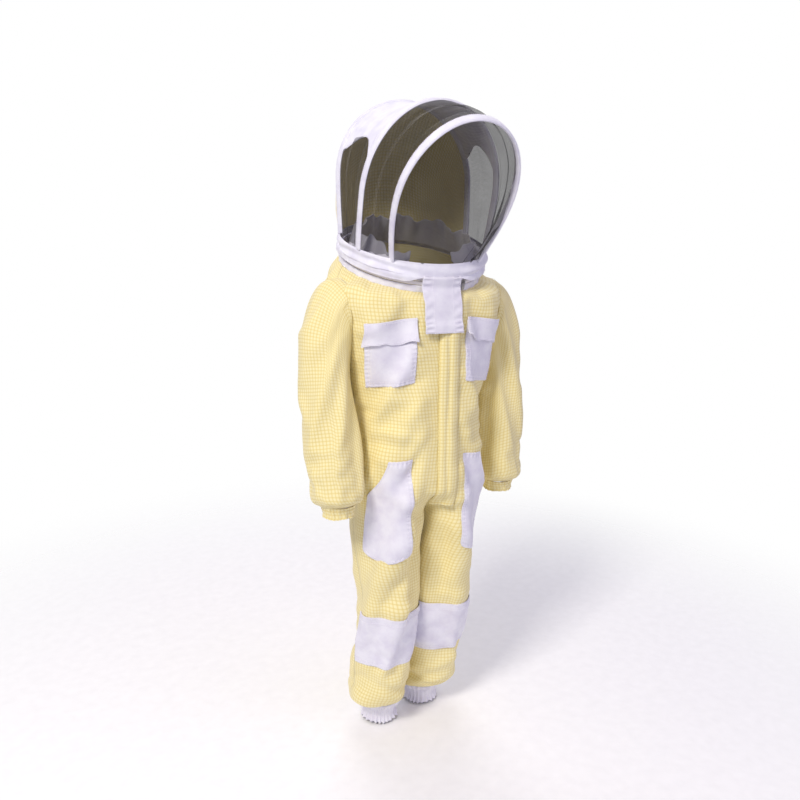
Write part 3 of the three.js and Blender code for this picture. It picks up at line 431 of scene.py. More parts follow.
def even_angles():
    """Angles round half a trunk ring that space its points evenly."""
    a = np.linspace(0, math.pi, 2000)
    x, y = 129 * soft(np.sin(a)), -np.where(np.cos(a) > 0, 122, 90) * soft(np.cos(a))
    along = np.concatenate([[0], np.cumsum(np.hypot(np.diff(x), np.diff(y)))])
    return along / along[-1], a


EVEN = even_angles()


def half_trunk(z, wide, back, side, t):
    a = np.interp(t, *EVEN)
    depth = np.where(np.cos(a) > 0, seam_y(z, 0) - front_y(z), back)
    return np.stack(
        [side * wide * soft(np.sin(a)), seam_y(z, 0) - depth * soft(np.cos(a)), np.full_like(t, z)], -1
    )


def leg_ring(z, wide, front, back, side, t):
    a = math.pi * (2 * t - 0.5)
    gap = 4 * np.clip((-470 - z) / 40, 0, 1)
    depth = np.where(np.cos(a) > 0, front, back)
    x = side * (gap + wide + wide * np.sin(a))
    return np.stack([x, seam_y(z, side) - depth * np.cos(a), np.full_like(t, z)], -1)


def table_at(table, z):
    zs = [row[0] for row in table][::-1]
    return [np.interp(z, zs, [row[k] for row in table][::-1]) for k in range(1, len(table[0]))]


def half_rings(side, t):
    """The rings of one half of the coverall, from the neck facing to the trouser hem."""
    neck = neck_point(180 * t * side, NECK_RADIUS + 2, -FACING_DROP - 0.4)
    first = half_trunk(*TRUNK[0], side, t)
    shoulder = lerp(first, neck, 0.28)
    shoulder[:, 2] = lerp(first[:, 2], neck[:, 2], 0.64)
    rings = [neck, shoulder]
    for z in (-46, -90, -135, -180, -240, -290, -345, -385):
        rings.append(half_trunk(z, *table_at(TRUNK, z), side, t))
    for z, share in ((-412, 0.03), (-430, 0.28), (-446, 0.66), (-462, 1.0)):
        trunk = half_trunk(z, *table_at(TRUNK, z), side, t)
        leg = leg_ring(z, *table_at(LEG, z), side, t)
        rings.append(lerp(trunk, leg, share))
    for z in (-490, -530, -600, -665, -725, -780, -845, -885, LEG_HEM):
        rings.append(leg_ring(z, *table_at(LEG, z), side, t))
    return rings


HALF_COLS = 57
ROW = 7.0


def make_coverall():
    """One skin for the whole coverall, sewn at the middle and the inside legs, settled into folds."""
    t = np.linspace(0, 1, HALF_COLS)
    sheets, uvs = [], []
    for _, side in SIDES:
        points = spline(half_rings(side, t), ROW)
        across = steps(points, 1)
        across = (across - across[:, [HALF_COLS // 2]]) * side
        down = steps(points, 0)
        down = np.where(t[None, :] < 0.5, down[:, [HALF_COLS // 4]], down[:, [3 * HALF_COLS // 4]])
        sheets.append(points)
        uvs.append(np.stack([across, down], -1))
    rows = sheets[0].shape[0]
    count = rows * HALF_COLS
    points = np.concatenate([s.reshape(-1, 3) for s in sheets])
    uv = np.concatenate([u.reshape(-1, 2) for u in uvs])
    crotch_row = int(np.argmin(np.abs(sheets[0][:, HALF_COLS // 2, 2] + 462)))

    # sew the two halves at the middle above the crotch, and each leg to itself below it
    target = np.arange(2 * count)
    for i in range(rows):
        for side in (0, 1):
            first, last = side * count + i * HALF_COLS, side * count + (i + 1) * HALF_COLS - 1
            if i < crotch_row and side == 1:
                target[first], target[last] = first - count, last - count
            elif i == crotch_row:
                target[first] = target[last] = crotch_row * HALF_COLS
            elif i > crotch_row:
                target[last] = first
    middle = np.unique(target[: crotch_row * HALF_COLS : HALF_COLS])
    points[middle, 0] = 0
    points[np.arange(HALF_COLS - 1, crotch_row * HALF_COLS, HALF_COLS), 0] = 0
    points[crotch_row * HALF_COLS, 0] = 0

    quads = grid_faces(rows, HALF_COLS)
    faces = np.concatenate([quads[:, ::-1], quads + count])
    col = np.concatenate([np.tile(np.arange(HALF_COLS - 1), rows - 1)] * 2)
    row = np.concatenate([np.repeat(np.arange(rows - 1), HALF_COLS - 1)] * 2)
    half = np.repeat([0, 1], len(quads))
    used, faces_used = np.unique(target[faces], return_inverse=True)
    faces_used = faces_used.reshape(faces.shape)
    grid_index = np.searchsorted(used, target).reshape(2, rows, HALF_COLS)

    mesh = bpy.data.meshes.new("coverall")
    mesh.from_pydata((points[used] * MM).tolist(), [], faces_used.tolist())
    layer = mesh.uv_layers.new(name="cloth")
    layer.data.foreach_set("uv", uv[faces].astype(np.float32).ravel())
    mesh.update()
    obj = link("coverall", mesh)
    return obj, used, faces_used, (row, col, half), uv[faces], sheets, grid_index


# -------------------- working on grids of points
def normals_of(points, heart):
    """Unit normals of a grid of points, facing away from heart."""
    n = np.cross(np.gradient(points, axis=0), np.gradient(points, axis=1))
    n /= np.linalg.norm(n, axis=2, keepdims=True) + 1e-9
    facing = ((points - np.asarray(heart, float)) * n).sum()
    return n if facing > 0 else -n


def pushed(points, heart, height):
    """A grid of points moved along its normals, away from heart, by its own height at each point."""
    return points + normals_of(points, heart) * height[..., None]


def facing_in(points, heart):
    """True if the grid's faces, taken in order, look towards heart."""
    n = np.cross(np.gradient(points, axis=0), np.gradient(points, axis=1))
    return ((points - np.asarray(heart, float)) * n).sum() < 0


def softened(grid, times, around=False):
    """Averages a grid with its neighbours."""
    for _ in range(times):
        for axis in (0, 1):
            pad = [(0, 0)] * grid.ndim
            pad[axis] = (1, 1)
            wide = np.pad(grid, pad, mode="wrap" if around and axis == 1 else "edge")
            low, high = [slice(None)] * grid.ndim, [slice(None)] * grid.ndim
            low[axis], high[axis] = slice(0, -2), slice(2, None)
            grid = grid * 0.5 + (wide[tuple(low)] + wide[tuple(high)]) * 0.25
    return grid


def noise_on(points, size, seed):
    """Smooth noise from -1 to 1 at each point, in lumps of about size millimetres."""
    flat = points.reshape(-1, 3) / size + seed * 7.31
    return np.array([noise.noise(Vector(p)) for p in flat]).reshape(points.shape[:-1])


def margins(points):
    """How far each point lies from the grid's first and last column, and first and last row."""
    across, down = steps(points, 1) / MM, steps(points, 0) / MM
    return across, across[:, -1:] - across, down, down[-1:] - down


def puckered(points, heart, sides, pitch=8.0, deep=0.9, strip=5.0):
    """Gathers a sewn edge: little dips a stitch line apart along the named sides."""
    left, right, top, bottom = margins(points)
    table = {"left": (left, top), "right": (right, top), "top": (top, left), "bottom": (bottom, left)}
    dip = np.zeros(points.shape[:2])
    for name in sides:
        off, along = table[name]
        wave = 0.5 + 0.5 * np.sin(along / pitch * 2 * math.pi)
        dip = np.maximum(dip, bell(off, strip, strip) * wave)
    return points - normals_of(points, heart) * (deep * dip)[..., None]


def cut_size(points, around=False):
    """Width, length and area in metres of the flat cut that a grid of points is made of."""
    if around:
        points = np.concatenate((points, points[:, :1]), axis=1)
    wide, long = float(steps(points, 1)[:, -1].max()), float(steps(points, 0)[-1].max())
    sides = np.cross(np.diff(points[:, :-1], axis=0), np.diff(points[:-1], axis=1))
    area = float(np.linalg.norm(sides, axis=2).sum()) * MM * MM
    return wide, long, min(area, wide * long)


def piece(
    node, points, material, body, heart, thick=1.4, levels=1, around=False, lift=0.0, kind="cloth"
):
    """One cut piece of cloth: outer face at the points, thickness inwards, riding on its body."""
    if lift:
        points = points + normals_of(points, heart) * lift
    obj = cloth(f"{node}_{kind}", points, material, facing_in(points, heart), around)
    finished(obj, thick, levels)
    dress(obj, body, node)
    wide, long, area = cut_size(points, around)
    return obj


def dress(obj, body, stands_for):
    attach(obj, body)
    if stands_for:
        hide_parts(*([stands_for] if isinstance(stands_for, str) else stands_for))


SEAMS = {}


def sewn(body, points, heart, rows=(), cols=(), thread="white", lift=0.45):
    """Marks lines of stitching along a grid's rows and columns, given as shares from 0 to 1."""
    raised = points + normals_of(points, heart) * lift
    lines = [raised[int(round(r * (points.shape[0] - 1)))] for r in rows]
    lines += [raised[:, int(round(c * (points.shape[1] - 1)))] for c in cols]
    SEAMS.setdefault((body, thread), []).extend(lines)


# -------------------- the coverall
CLOTH_THICK = 2.2


def relaxed(values, links, times):
    """Averages each vertex's value with its neighbours'."""
    a, b = links.T
    size = len(values)
    count = (np.bincount(a, minlength=size) + np.bincount(b, minlength=size))[:, None]
    for _ in range(times):
        near = [np.bincount(a, v[b], size) + np.bincount(b, v[a], size) for v in values.T]
        values = values * 0.4 + np.stack(near, 1) / count * 0.6
    return values


def settled(obj, base, most, drift):
    """Keeps the folds of a crumpled cloth but not its drift, and no fold higher than most millimetres."""
    moved = vertices(obj) / MM - base
    links = np.empty(len(obj.data.edges) * 2, np.int32)
    obj.data.edges.foreach_get("vertices", links)
    links = links.reshape(-1, 2)
    moved = moved - relaxed(moved, links, drift)
    size = np.linalg.norm(moved, axis=1, keepdims=True) + 1e-9
    moved = relaxed(moved * (most * np.tanh(size / most) / size), links, 2)
    obj.data.vertices.foreach_set("co", ((base + moved) * MM).ravel())
    obj.data.update()


# ridges (+) and creases (-) pressed into the cloth before it settles: from x, z to x, z, width, height
FRONT_FOLDS = [
    (-4, -446, -104, -398, 15, 7), (4, -446, 100, -402, 15, 6), (-6, -430, -84, -372, 12, -4),
    (8, -430, 84, -376, 12, -4), (-10, -462, -92, -520, 17, 7), (10, -462, 90, -516, 16, 6),
    (-30, -470, -118, -600, 22, 9), (-16, -520, -96, -628, 15, -6), (30, -470, 104, -590, 20, 7),
    (-120, -284, -34, -296, 10, 6), (-126, -306, -52, -312, 9, -4), (120, -282, 40, -300, 10, 5),
    (118, -322, 60, -330, 10, 5), (-122, -330, -64, -352, 11, 5), (-112, -655, -18, -640, 12, 7),
    (112, -652, 20, -640, 12, 6), (-112, -632, -20, -618, 10, -4), (-110, -800, -20, -838, 14, 7),
    (-104, -838, -24, -872, 12, 6), (-100, -818, -22, -856, 10, -5), (110, -806, 22, -836, 14, 6),
    (104, -846, 24, -880, 12, 6), (-84, -206, -40, -280, 18, 6), (90, -206, 44, -280, 18, 6),
    (-48, -210, -30, -380, 16, 5), (60, -300, 40, -400, 14, 5), (-150, -110, -96, -60, 14, 6),
    (150, -110, 98, -60, 14, 5), (-24, -60, -60, -130, 16, 4), (70, -560, 30, -650, 16, 5),
]
BACK_FOLDS = [
    (-100, -100, 100, -92, 22, 5), (-110, -180, 30, -215, 16, 5), (110, -160, -20, -206, 15, 5),
    (-118, -255, 118, -262, 12, 7), (-100, -330, 90, -322, 14, 6), (-90, -360, -10, -420, 15, 6),
    (90, -360, 10, -424, 15, 6), (-8, -440, -100, -400, 14, 7), (8, -440, 100, -404, 14, 7),
    (-14, -474, -110, -520, 16, 7), (14, -474, 110, -524, 16, 7), (-110, -600, -20, -640, 15, 6),
    (108, -606, 20, -640, 15, 6), (-108, -680, -18, -664, 12, 7), (108, -676, 18, -662, 12, 7),
    (-108, -700, -18, -708, 12, -5), (108, -700, 18, -704, 12, -5), (-104, -800, -20, -846, 14, 7),
    (106, -806, 20, -850, 14, 7), (-60, -300, -46, -400, 15, 4), (50, -300, 44, -400, 15, 4),
]


def beside(rel, way):
    """How far along a fold's line each point lies, from 0 to 1, and how far off the line."""
    along = np.clip((rel @ way) / (way @ way), 0, 1)
    return along, np.linalg.norm(rel - along[..., None] * way, axis=-1)


def pressed(points, folds, chosen):
    """Height of the ridges and creases at each point, seen from the front or the back."""
    height = np.zeros(len(points))
    for x0, z0, x1, z1, wide, high in folds:
        start, way = np.array((x0, z0)), np.array((x1 - x0, z1 - z0))
        along, off = beside(points[:, [0, 2]] - start, way)
        height += high * bell(off, 0, wide) * hump(along * 0.8 + 0.1)
    return np.where(chosen, height, 0)


def mesh_normals(obj):
    n = np.empty(len(obj.data.vertices) * 3)
    obj.data.vertices.foreach_get("normal", n)
    return n.reshape(-1, 3)


coverall, used, quads, (face_row, face_col, face_half), pattern, halves, grid_index = make_coverall()
ROWS = halves[0].shape[0]
base = vertices(coverall) / MM
row_of = np.zeros(len(base), int)
col_of = np.zeros(len(base), int)
row_of[grid_index] = np.arange(ROWS)[None, :, None]
col_of[grid_index] = np.arange(HALF_COLS)[None, None, :]
out = mesh_normals(coverall)
is_front = col_of < HALF_COLS // 2
edge_share = np.clip(np.minimum(row_of, ROWS - 1 - row_of) / 5, 0, 1)
near_zip = (col_of < 5) & (base[:, 2] > CROTCH + 20)
folded = pressed(base, FRONT_FOLDS, is_front) + pressed(base, BACK_FOLDS, ~is_front)
folded += 3.2 * noise_on(base * (1, 1, 1.6), 62, 1) + 1.6 * noise_on(base * (1, 1, 1.4), 30, 2)
folded *= 1.25
folded *= edge_share * np.where(near_zip, col_of / 5, 1)
base = base + out * folded[:, None]
coverall.data.vertices.foreach_set("co", (base * MM).ravel())
coverall.data.update()

hold = np.full(len(base), 0.03)
hold[base[:, 2] > -40] = 0.3
hold[np.abs(base[:, 2] - WAIST) < 10] = 0.25
hold[near_zip] = 0.9
hold[np.isin(row_of, (0, ROWS - 1))] = 1
crumple(coverall, 0.09, hold, 24, bending=1.2)
settled(coverall, base, 11.0, 34)
skin = vertices(coverall) / MM
body_tree = BVHTree.FromPolygons((skin * MM).tolist(), quads.tolist())


def sleeve_turn(name, side):
    """How a sleeve hangs: swung forward and away from the body about the shoulder."""
    swing, lean = (math.radians(a) for a in ARM_REST[name])
    place = Vector((side * SHOULDER.x, SHOULDER.y, SHOULDER.z))
    turn = Matrix.Rotation(-swing, 4, "X") @ Matrix.Rotation(-side * lean, 4, "Y")
    return Matrix.Translation(place) @ turn @ Matrix.Translation(-place)


def turned(points, matrix):
    m = np.array(matrix)
    return points @ m[:3, :3].T + m[:3, 3]


def sleeve_ring(at, down, across, deep, side, columns):
    down = np.array(down) / np.linalg.norm(down)
    back = np.array((0, 1, 0)) - down * down[1]
    back /= np.linalg.norm(back)
    outer = np.cross(back, down)
    a = np.arange(columns) * 2 * math.pi / columns
    p = np.array(at) + outer * across * np.cos(a)[:, None] + back * deep * np.sin(a)[:, None]
    return p * (side, 1, 1)


SLEEVE_COLS = 52


def in_trunk(p):
    """Under 1 inside the trunk, over 1 outside."""
    wide, back = table_at(TRUNK, p[..., 2])
    y = p[..., 1] - seam_y(p[..., 2], 0)
    depth = np.where(y < 0, seam_y(p[..., 2], 0) - front_y(p[..., 2]), back)
    return (np.abs(p[..., 0]) / wide) ** 2.5 + (np.abs(y) / depth) ** 2.5


def sleeve_points(name, side):
    """A sleeve's columns of points, each starting at the armhole."""
    rings = [sleeve_ring(*ring, side, SLEEVE_COLS) for ring in SLEEVE[:-1]]
    fine = turned(spline(rings, 2.0), sleeve_turn(name, side))
    rows = 62
    result = np.empty((rows, SLEEVE_COLS, 3))
    # above the top of the trunk's table the test uses the shoulder's slope
    inside = in_trunk(fine) < 1
    inside &= fine[..., 2] < -52 + 0.1 * (170 - np.abs(fine[..., 0]))
    for k in range(SLEEVE_COLS):
        last = np.flatnonzero(inside[:, k])
        start = int(last.max()) if len(last) else 8
        places = start + (len(fine) - 1 - start) * np.linspace(0, 1, rows)
        whole = np.clip(places.astype(int), 0, len(fine) - 2)
        result[:, k] = lerp(fine[whole, k], fine[whole + 1, k], (places - whole)[:, None])
    start_row = softened(result[:1].repeat(3, 0), 2, True)[1]
    result[0] = lerp(result[0], start_row, 0.7)
    return result


ELBOW_FOLDS = {
    "right": [(-8, -104, 60, -132, 9, 8), (6, -128, 70, -104, 8, -5), (-30, -150, 40, -176, 12, 6),
              (-40, -236, 36, -226, 11, 7), (-36, -262, 34, -250, 9, -5), (-30, -300, 30, -330, 12, 5),
              (-30, -372, 26, -352, 11, 5)],
    "left": [(-40, -120, 40, -140, 11, 6), (-40, -170, 34, -196, 12, 5), (-40, -232, 40, -244, 11, 6),
             (-36, -286, 30, -268, 12, 5), (-30, -350, 28, -366, 11, 5)],
}


def make_sleeve(name, side):
    points = sleeve_points(name, side)
    heart = points[12:40].mean((0, 1))
    n = normals_of(points, heart)
    rows = points.shape[0]
    end_share = np.clip(np.minimum(np.arange(rows), rows - 1 - np.arange(rows)) / 5, 0, 1)[:, None]
    around = (np.arange(SLEEVE_COLS) * 2 * math.pi / SLEEVE_COLS)[None, :]
    height = np.zeros(points.shape[:2])
    for y0, z0, y1, z1, wide, high in ELBOW_FOLDS[name]:
        off = beside(points[..., [1, 2]] - (y0, z0), np.array((y1 - y0, z1 - z0), float))[1]
        height += 1.4 * high * bell(off, 0, wide) * (0.55 + 0.45 * np.cos(around))
    blouse = np.clip((np.arange(rows) - rows + 16) / 16, 0, 1)[:, None]
    height += 2.4 * blouse * np.sin(around * 13 + 1.4 * np.sin(around * 2)) * (1 + 0.4 * np.sin(around * 5))
    points = points + n * (height * end_share)[..., None]
    flip = facing_in(points, heart)
    obj = cloth(f"sleeve_{name}_cloth", points, YELLOW, flip, around=True)
    hold = np.full(points.shape[:2], 0.03)
    hold[[0, 1, -1, -2]] = 1
    start = vertices(obj) / MM
    wide, long, area = cut_size(points, True)
    crumple(obj, 0.09, hold.ravel(), 24, bending=1.2)
    settled(obj, start, 10.0, 30)
    shape = (vertices(obj) / MM).reshape(points.shape)
    finished(obj, CLOTH_THICK, 1)
    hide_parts(f"sleeve_{name}")
    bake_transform(obj)
    sewn("coverall", shape, heart, rows=(0.03,), thread="gold")


for name, side in SIDES:
    make_sleeve(name, side)


def make_panels():
    """Cuts the settled skin into its panels, leaving out the armholes and the gap for the zip."""
    centres = skin[quads].mean(1)
    row_z = halves[0][:, 3 * HALF_COLS // 4, 2]
    waist_top, waist_low = (int(np.argmin(np.abs(row_z - WAIST - d))) for d in (15, -15))
    front = face_col < HALF_COLS // 2
    zip_gap = (face_half == 1) & np.isin(face_col, (1, 2)) & (centres[:, 2] > ZIP_FOOT) & front
    armhole = np.zeros(len(quads), bool)
    # each armhole is an oval 104 by 112 mm round the shoulder, within 70 mm of it along the sleeve
    for name, side in SIDES:
        local = turned(centres, sleeve_turn(name, side).inverted()) * (side, 1, 1)
        rel = local - (150, -1, -74)
        down = np.array((0.9, 0, -0.42)) / np.linalg.norm((0.9, 0, -0.42))
        across = np.array((down[2], 0, -down[0]))
        armhole |= ((rel @ across / 52) ** 2 + (rel[:, 1] / 56) ** 2 < 1) & (np.abs(rel @ down) < 70)
    keep = ~zip_gap & ~armhole
    right_of_zip = (face_half == 0) | ((face_col == 0) & (centres[:, 2] > ZIP_FOOT))
    cuts = {
        "front_panel_right": front & right_of_zip,
        "front_panel_left": front & ~right_of_zip,
        "back_bodice": ~front & (face_row < waist_top),
        "back_waistband": ~front & (face_row >= waist_top) & (face_row < waist_low),
        "back_leg_right": ~front & (face_row >= waist_low) & (face_half == 0),
        "back_leg_left": ~front & (face_row >= waist_low) & (face_half == 1),
    }
    for name, chosen in cuts.items():
        index = np.flatnonzero(chosen & keep)
        corners, faces = np.unique(quads[index], return_inverse=True)
        mesh = bpy.data.meshes.new(name)
        mesh.from_pydata((skin[corners] * MM).tolist(), [], faces.reshape(-1, 4).tolist())
        layer = mesh.uv_layers.new(name="cloth")
        layer.data.foreach_set("uv", pattern[index].astype(np.float32).ravel())
        mesh.polygons.foreach_set("use_smooth", [True] * len(mesh.polygons))
        mesh.materials.append(YELLOW)
        obj = link(name + "_cloth", mesh)
        finished(obj, CLOTH_THICK, 1)
        dress(obj, "coverall", name)
    bpy.data.objects.remove(coverall)


make_panels()

# -------------------- patches sewn on the coverall
HEART = (0, 0, -250)


def on_body(starts, ways, off, inside=False):
    """Lays a grid on the cloth by rays from starts along ways, off millimetres clear of it.

    The rays come from in front of the cloth, or from inside it, and the grid bridges small creases."""
    depth = np.full(starts.shape[:2], np.nan)
    for i, j in np.ndindex(depth.shape):
        hit = body_tree.ray_cast(Vector(starts[i, j] * MM), Vector(ways[i, j]))[3]
        if hit is not None:
            depth[i, j] = hit / MM
    depth = np.where(np.isnan(depth), np.nanmedian(depth), depth)
    sign = -1 if inside else 1
    raw = depth * sign
    depth = np.minimum(softened(raw, 10), softened(np.minimum(raw, softened(raw, 4)), 1))
    return starts + ways * (sign * (softened(depth, 2) - off))[..., None]


def patch_from_corners(side, corners, across, down):
    """A grid in x, z between four corners: inner low, outer low, inner high, outer high."""
    inner_low, outer_low, inner_high, outer_high = (np.array(c, float) for c in corners)
    u, v = shares((0, 1, across), (1, 0, down))
    u, v = u[..., None], v[..., None]
    xz = lerp(lerp(inner_low, outer_low, u), lerp(inner_high, outer_high, u), v)
    start = np.stack([side * xz[..., 0], np.full(xz.shape[:2], -500.0), xz[..., 1]], -1)
    return start, np.broadcast_to((0.0, 1.0, 0.0), start.shape), u[..., 0], 1 - v[..., 0]


for name, side in SIDES:
    # chest pocket: sewn on three sides with two rows of stitches, full in the middle
    start, way, u, v = patch_from_corners(side, ((51, -190), (128, -205), (53, -76), (142, -88)), 36, 42)
    pocket = on_body(start, way, 2.4)
    full = 4.5 * hump(u) ** 0.7 * hump(v * 0.8 + 0.2) ** 0.7
    full = full + 1.3 * noise_on(pocket * (1, 1, 0.5), 30, 3)
    pocket = pushed(pocket, HEART, full)
    pocket = puckered(pocket, HEART, ("left", "bottom", "right"), 8.5, 2.0, 5)
    piece(f"chest_pocket_{name}", pocket, WHITE, "coverall", HEART)
    sewn("coverall", pocket, HEART, rows=(0.98, 0.93), cols=(0.03, 0.1, 0.9, 0.97))

    # its flap: sewn along the top, its lower edge standing off in a wave
    start, way, u, v = patch_from_corners(side, ((50, -114), (141, -127), (52, -70), (143, -82)), 44, 24)
    flap = on_body(start, way, 6.2)
    wave = np.sin(u * 9 + (0.4 if side < 0 else 2.2)) + 0.5 * np.sin(u * 17)
    curl = bell(u, *((0.62, 0.1) if side < 0 else (0.0, 0.28)))
    stand = v**1.3 * (3.2 + 1.6 * wave + (2.0 if side < 0 else 9.0) * curl * v)
    flap = pushed(flap, HEART, stand)
    flap[..., 2] += v**2 * ((6.0 if side < 0 else 12.0) * curl + 2.4 * wave)
    flap = puckered(flap, HEART, ("top",), 7, 0.6, 4)
    piece(f"chest_flap_{name}", flap, WHITE, f"chest_flap_{name}", HEART, thick=1.8)
    sewn(f"chest_flap_{name}", flap, HEART, rows=(0.1, 0.92), cols=(0.05, 0.95))

    # hip pocket: its side edge is cut in a curve for the hand
    start, way, u, v = patch_from_corners(side, ((54, -527), (121, -546), (55, -334), (125, -338)), 34, 76)
    mouth = np.clip(1 - v / 0.34, 0, 1)
    low_corner = np.clip((v - 0.93) / 0.07, 0, 1)
    cut = 29 * mouth + 5 * hump(mouth) + 16 * low_corner**2
    start[..., 0] += side * (3 - cut) * u + side * 8 * low_corner**2 * (1 - u)
    hip = on_body(start, way, 2.6)
    full = 3.0 * hump(u) ** 0.6 * hump(v) ** 0.6
    full = full + 2.0 * noise_on(hip, 42, 5)
    gape = 4.0 * bell(v, 0.2, 0.16) * u**5
    hip = pushed(hip, HEART, full + gape)
    hip = puckered(hip, HEART, ("left", "bottom", "top"), 8.5, 1.8, 5)
    piece(f"hip_pocket_{name}", hip, WHITE, "coverall", HEART)
    sewn("coverall", hip, HEART, rows=(0.015, 0.97, 0.985), cols=(0.05, 0.11, 0.95))

    # knee patch: wraps the front of the leg, hemmed above and below
    u, v = np.meshgrid(np.radians(np.linspace(-84, 84, 62)), np.linspace(0, 1, 36))
    z = lerp(-666.0, -785.0, v)
    axis = np.stack([np.full_like(z, side * 64.0), seam_y(z, side), z], -1)
    way = np.stack([np.sin(u), -np.cos(u), np.zeros_like(u)], -1)
    knee = on_body(axis, way, 2.2, inside=True)
    heart = (side * 64, -30, -725)
    full = 1.6 * hump(v) ** 0.5 + 2.2 * noise_on(knee * (0.6, 1, 1.6), 34, 8)
    knee = pushed(knee, heart, full)
    knee = puckered(knee, heart, ("top", "bottom"), 8.5, 1.5, 5)
    piece(f"knee_patch_{name}", knee, WHITE, "coverall", heart)
    sewn("coverall", knee, heart, rows=(0.03, 0.1, 0.9, 0.97), cols=(0.02, 0.98))

# the fly: a facing of the same cloth in an arch over the zip, with a valley down its middle
u, z = shares((0, 1, 16), (-88, -436, 74))
start = np.stack([-6 + 42 * u, np.full_like(u, -500.0), z], -1)
fly = on_body(start, np.broadcast_to((0.0, 1.0, 0.0), start.shape), 1.8)
arch = 8 * hump(u) ** 0.6
valley = 3.6 * np.exp(-(((u - 0.42 - 0.05 * np.sin(z / 40)) / 0.1) ** 2))
fly[..., 1] -= arch + 1.2 * np.sin(z / 27) * hump(u) - valley
piece("zip_fly", fly, YELLOW, "coverall", HEART, thick=1.8)
sewn("coverall", fly, HEART, rows=(0.99,), cols=(0.03, 0.97), thread="gold")


# -------------------- cuffs
def gathered_tube(centre, levels, folds, ripple, columns, seed):
    """A sleeve-end or trouser-end tube pulled in by elastic; ripple gives its folds at each level."""
    drops, radii = [l[0] for l in levels], [l[1] for l in levels]
    rows = 22
    drop = np.linspace(drops[0], drops[-1], rows)[:, None]
    a = np.linspace(0, 2 * math.pi, columns, endpoint=False)[None, :]
    wobble = np.sin(a * folds + 1.7 * np.sin(a * 3 + seed) + seed) * (1 + 0.45 * np.sin(a * 5 + seed))
    amount = np.interp(drop, drops, [l[2] for l in levels])
    radius = np.interp(drop, drops, radii) + amount * wobble * ripple
    point = np.stack([radius * np.cos(a), radius * np.sin(a), -drop + 0 * a], -1)
    point[..., 2] += 0.8 * np.sin(a * 4 + seed) * (drop / drops[-1])
    return softened(point, 1, True) + np.array(centre)


for name, side in SIDES:
    levels = [
        (-7, 48.5, 0.5), (3, 46, 1.5), (11, 37, 1.6), (17, 34.5, 1.0),
        (28, 34.5, 1.0), (34, 37, 2.0), (40, 38.5, 2.6),
    ]
    centre = (side * 56, float(seam_y(LEG_HEM, side)), LEG_HEM - 0.4)
    ankle = gathered_tube(centre, levels, 24, 1.0, 220, side)
    heart = (centre[0], centre[1], centre[2] - 20)
    piece(f"ankle_cuff_{name}", ankle, WHITE, "coverall", heart, thick=1.2, around=True)
    sewn("coverall", ankle, heart, rows=(0.06, 0.42, 0.72))

    levels = [(-7, 33.5, 0.4), (1, 31, 1.1), (5, 29.6, 1.1), (11, 29, 0.9), (16, 30, 1.2)]
    cuff = gathered_tube((side * 184, -54, -434), levels, 17, 1.1, 120, side + 2)
    cuff = turned(cuff, sleeve_turn(name, side))
    heart = cuff.mean((0, 1))
    piece(f"sleeve_cuff_{name}", cuff, YELLOW, f"sleeve_{name}", heart, thick=1.6, around=True)
    sewn(f"sleeve_{name}", cuff, heart, rows=(0.25,), thread="gold")

# -------------------- neck: facing, zip tapes and collar
NECK_HEART = tuple(NECK_CENTRE)
ZIP_DEGREES, ZIP_GAP = math.degrees(15 / NECK_RADIUS), math.degrees(6.4 / NECK_RADIUS)
NECK_END = 168


def neck_grid(radius_height, start, end, count):
    """Rows follow a profile of radius and height, columns go round the neck from start to end degrees."""
    d = np.linspace(start, end, count)
    return np.stack([neck_point(d, np.full(count, r), np.full(count, h)) for r, h in radius_height]), d


t = np.linspace(0, 1, 7)
profile = [(135.6 + 2 * k, -8.8 - 12.2 * k) for k in t]
facing, d = neck_grid(profile, ZIP_DEGREES + ZIP_GAP, ZIP_DEGREES - ZIP_GAP + 360, 260)
ripple = 0.9 * np.sin(np.radians(d) * 31) * t[:, None]
facing = pushed(facing, NECK_HEART, ripple)
piece("neck_facing", facing, SATIN, "coverall", NECK_HEART, lift=1.6)
sewn("coverall", facing, NECK_HEART, rows=(0.2, 0.85), lift=2.0)

for part, sign, body in (("lower", -1, "coverall"), ("upper", 1, "hood")):
    profile = [(NECK_RADIUS + 1.2, sign * h) for h in np.linspace(1.2, 7.6, 4)]
    tape, d = neck_grid(profile, -NECK_END, NECK_END, 240)
    strip = cloth(f"neck_zip_{part}_tape", tape, TAPE, facing_in(tape, NECK_HEART))
    dress(finished(strip, 1.2), body, f"neck_zip_{part}")

# the stretch at the back of the neck that the zip leaves uncut, on which the hood tips
profile = [(NECK_RADIUS + 2.4, h) for h in np.linspace(9.5, -10.0, 12)]
bridge, d = neck_grid(profile, NECK_END - 2, 362 - NECK_END, 30)
bridge_piece = cloth("neck_back_bridge_cloth", bridge, SATIN, facing_in(bridge, NECK_HEART))
finished(bridge_piece, 1.2)
low, high = (tuple(neck_point(180, NECK_RADIUS, h) * MM) for h in (-8.0, 8.0))
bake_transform(bridge_piece)

u, v = shares((0, 1, 190), (1, 0, 20))
d = lerp(28, 332, u)
ends = bell(u, 0.0, 0.08) + bell(u, 1.0, 0.08)
flop = 3.2 * np.sin(np.radians(6 * d)) + 2.4 * np.sin(np.radians(15 * d) + 1.3)
flop = flop + 1.6 * np.sin(np.radians(27 * d))
radius = lerp(129.0, 110.0, v) + 1.5 * flop * v**1.4 - 22 * ends * v**2
height = lerp(-10.0, 46.0, v) - 16 * ends * v
height = height + 5 * np.sin(np.radians(9 * d)) * v + 3 * np.sin(np.radians(23 * d)) * v**2
collar = neck_point(d, radius, height)
piece("inner_collar", collar, WHITE, "coverall", NECK_HEART, thick=1.2)
sewn("coverall", collar, NECK_HEART, rows=(0.08,))

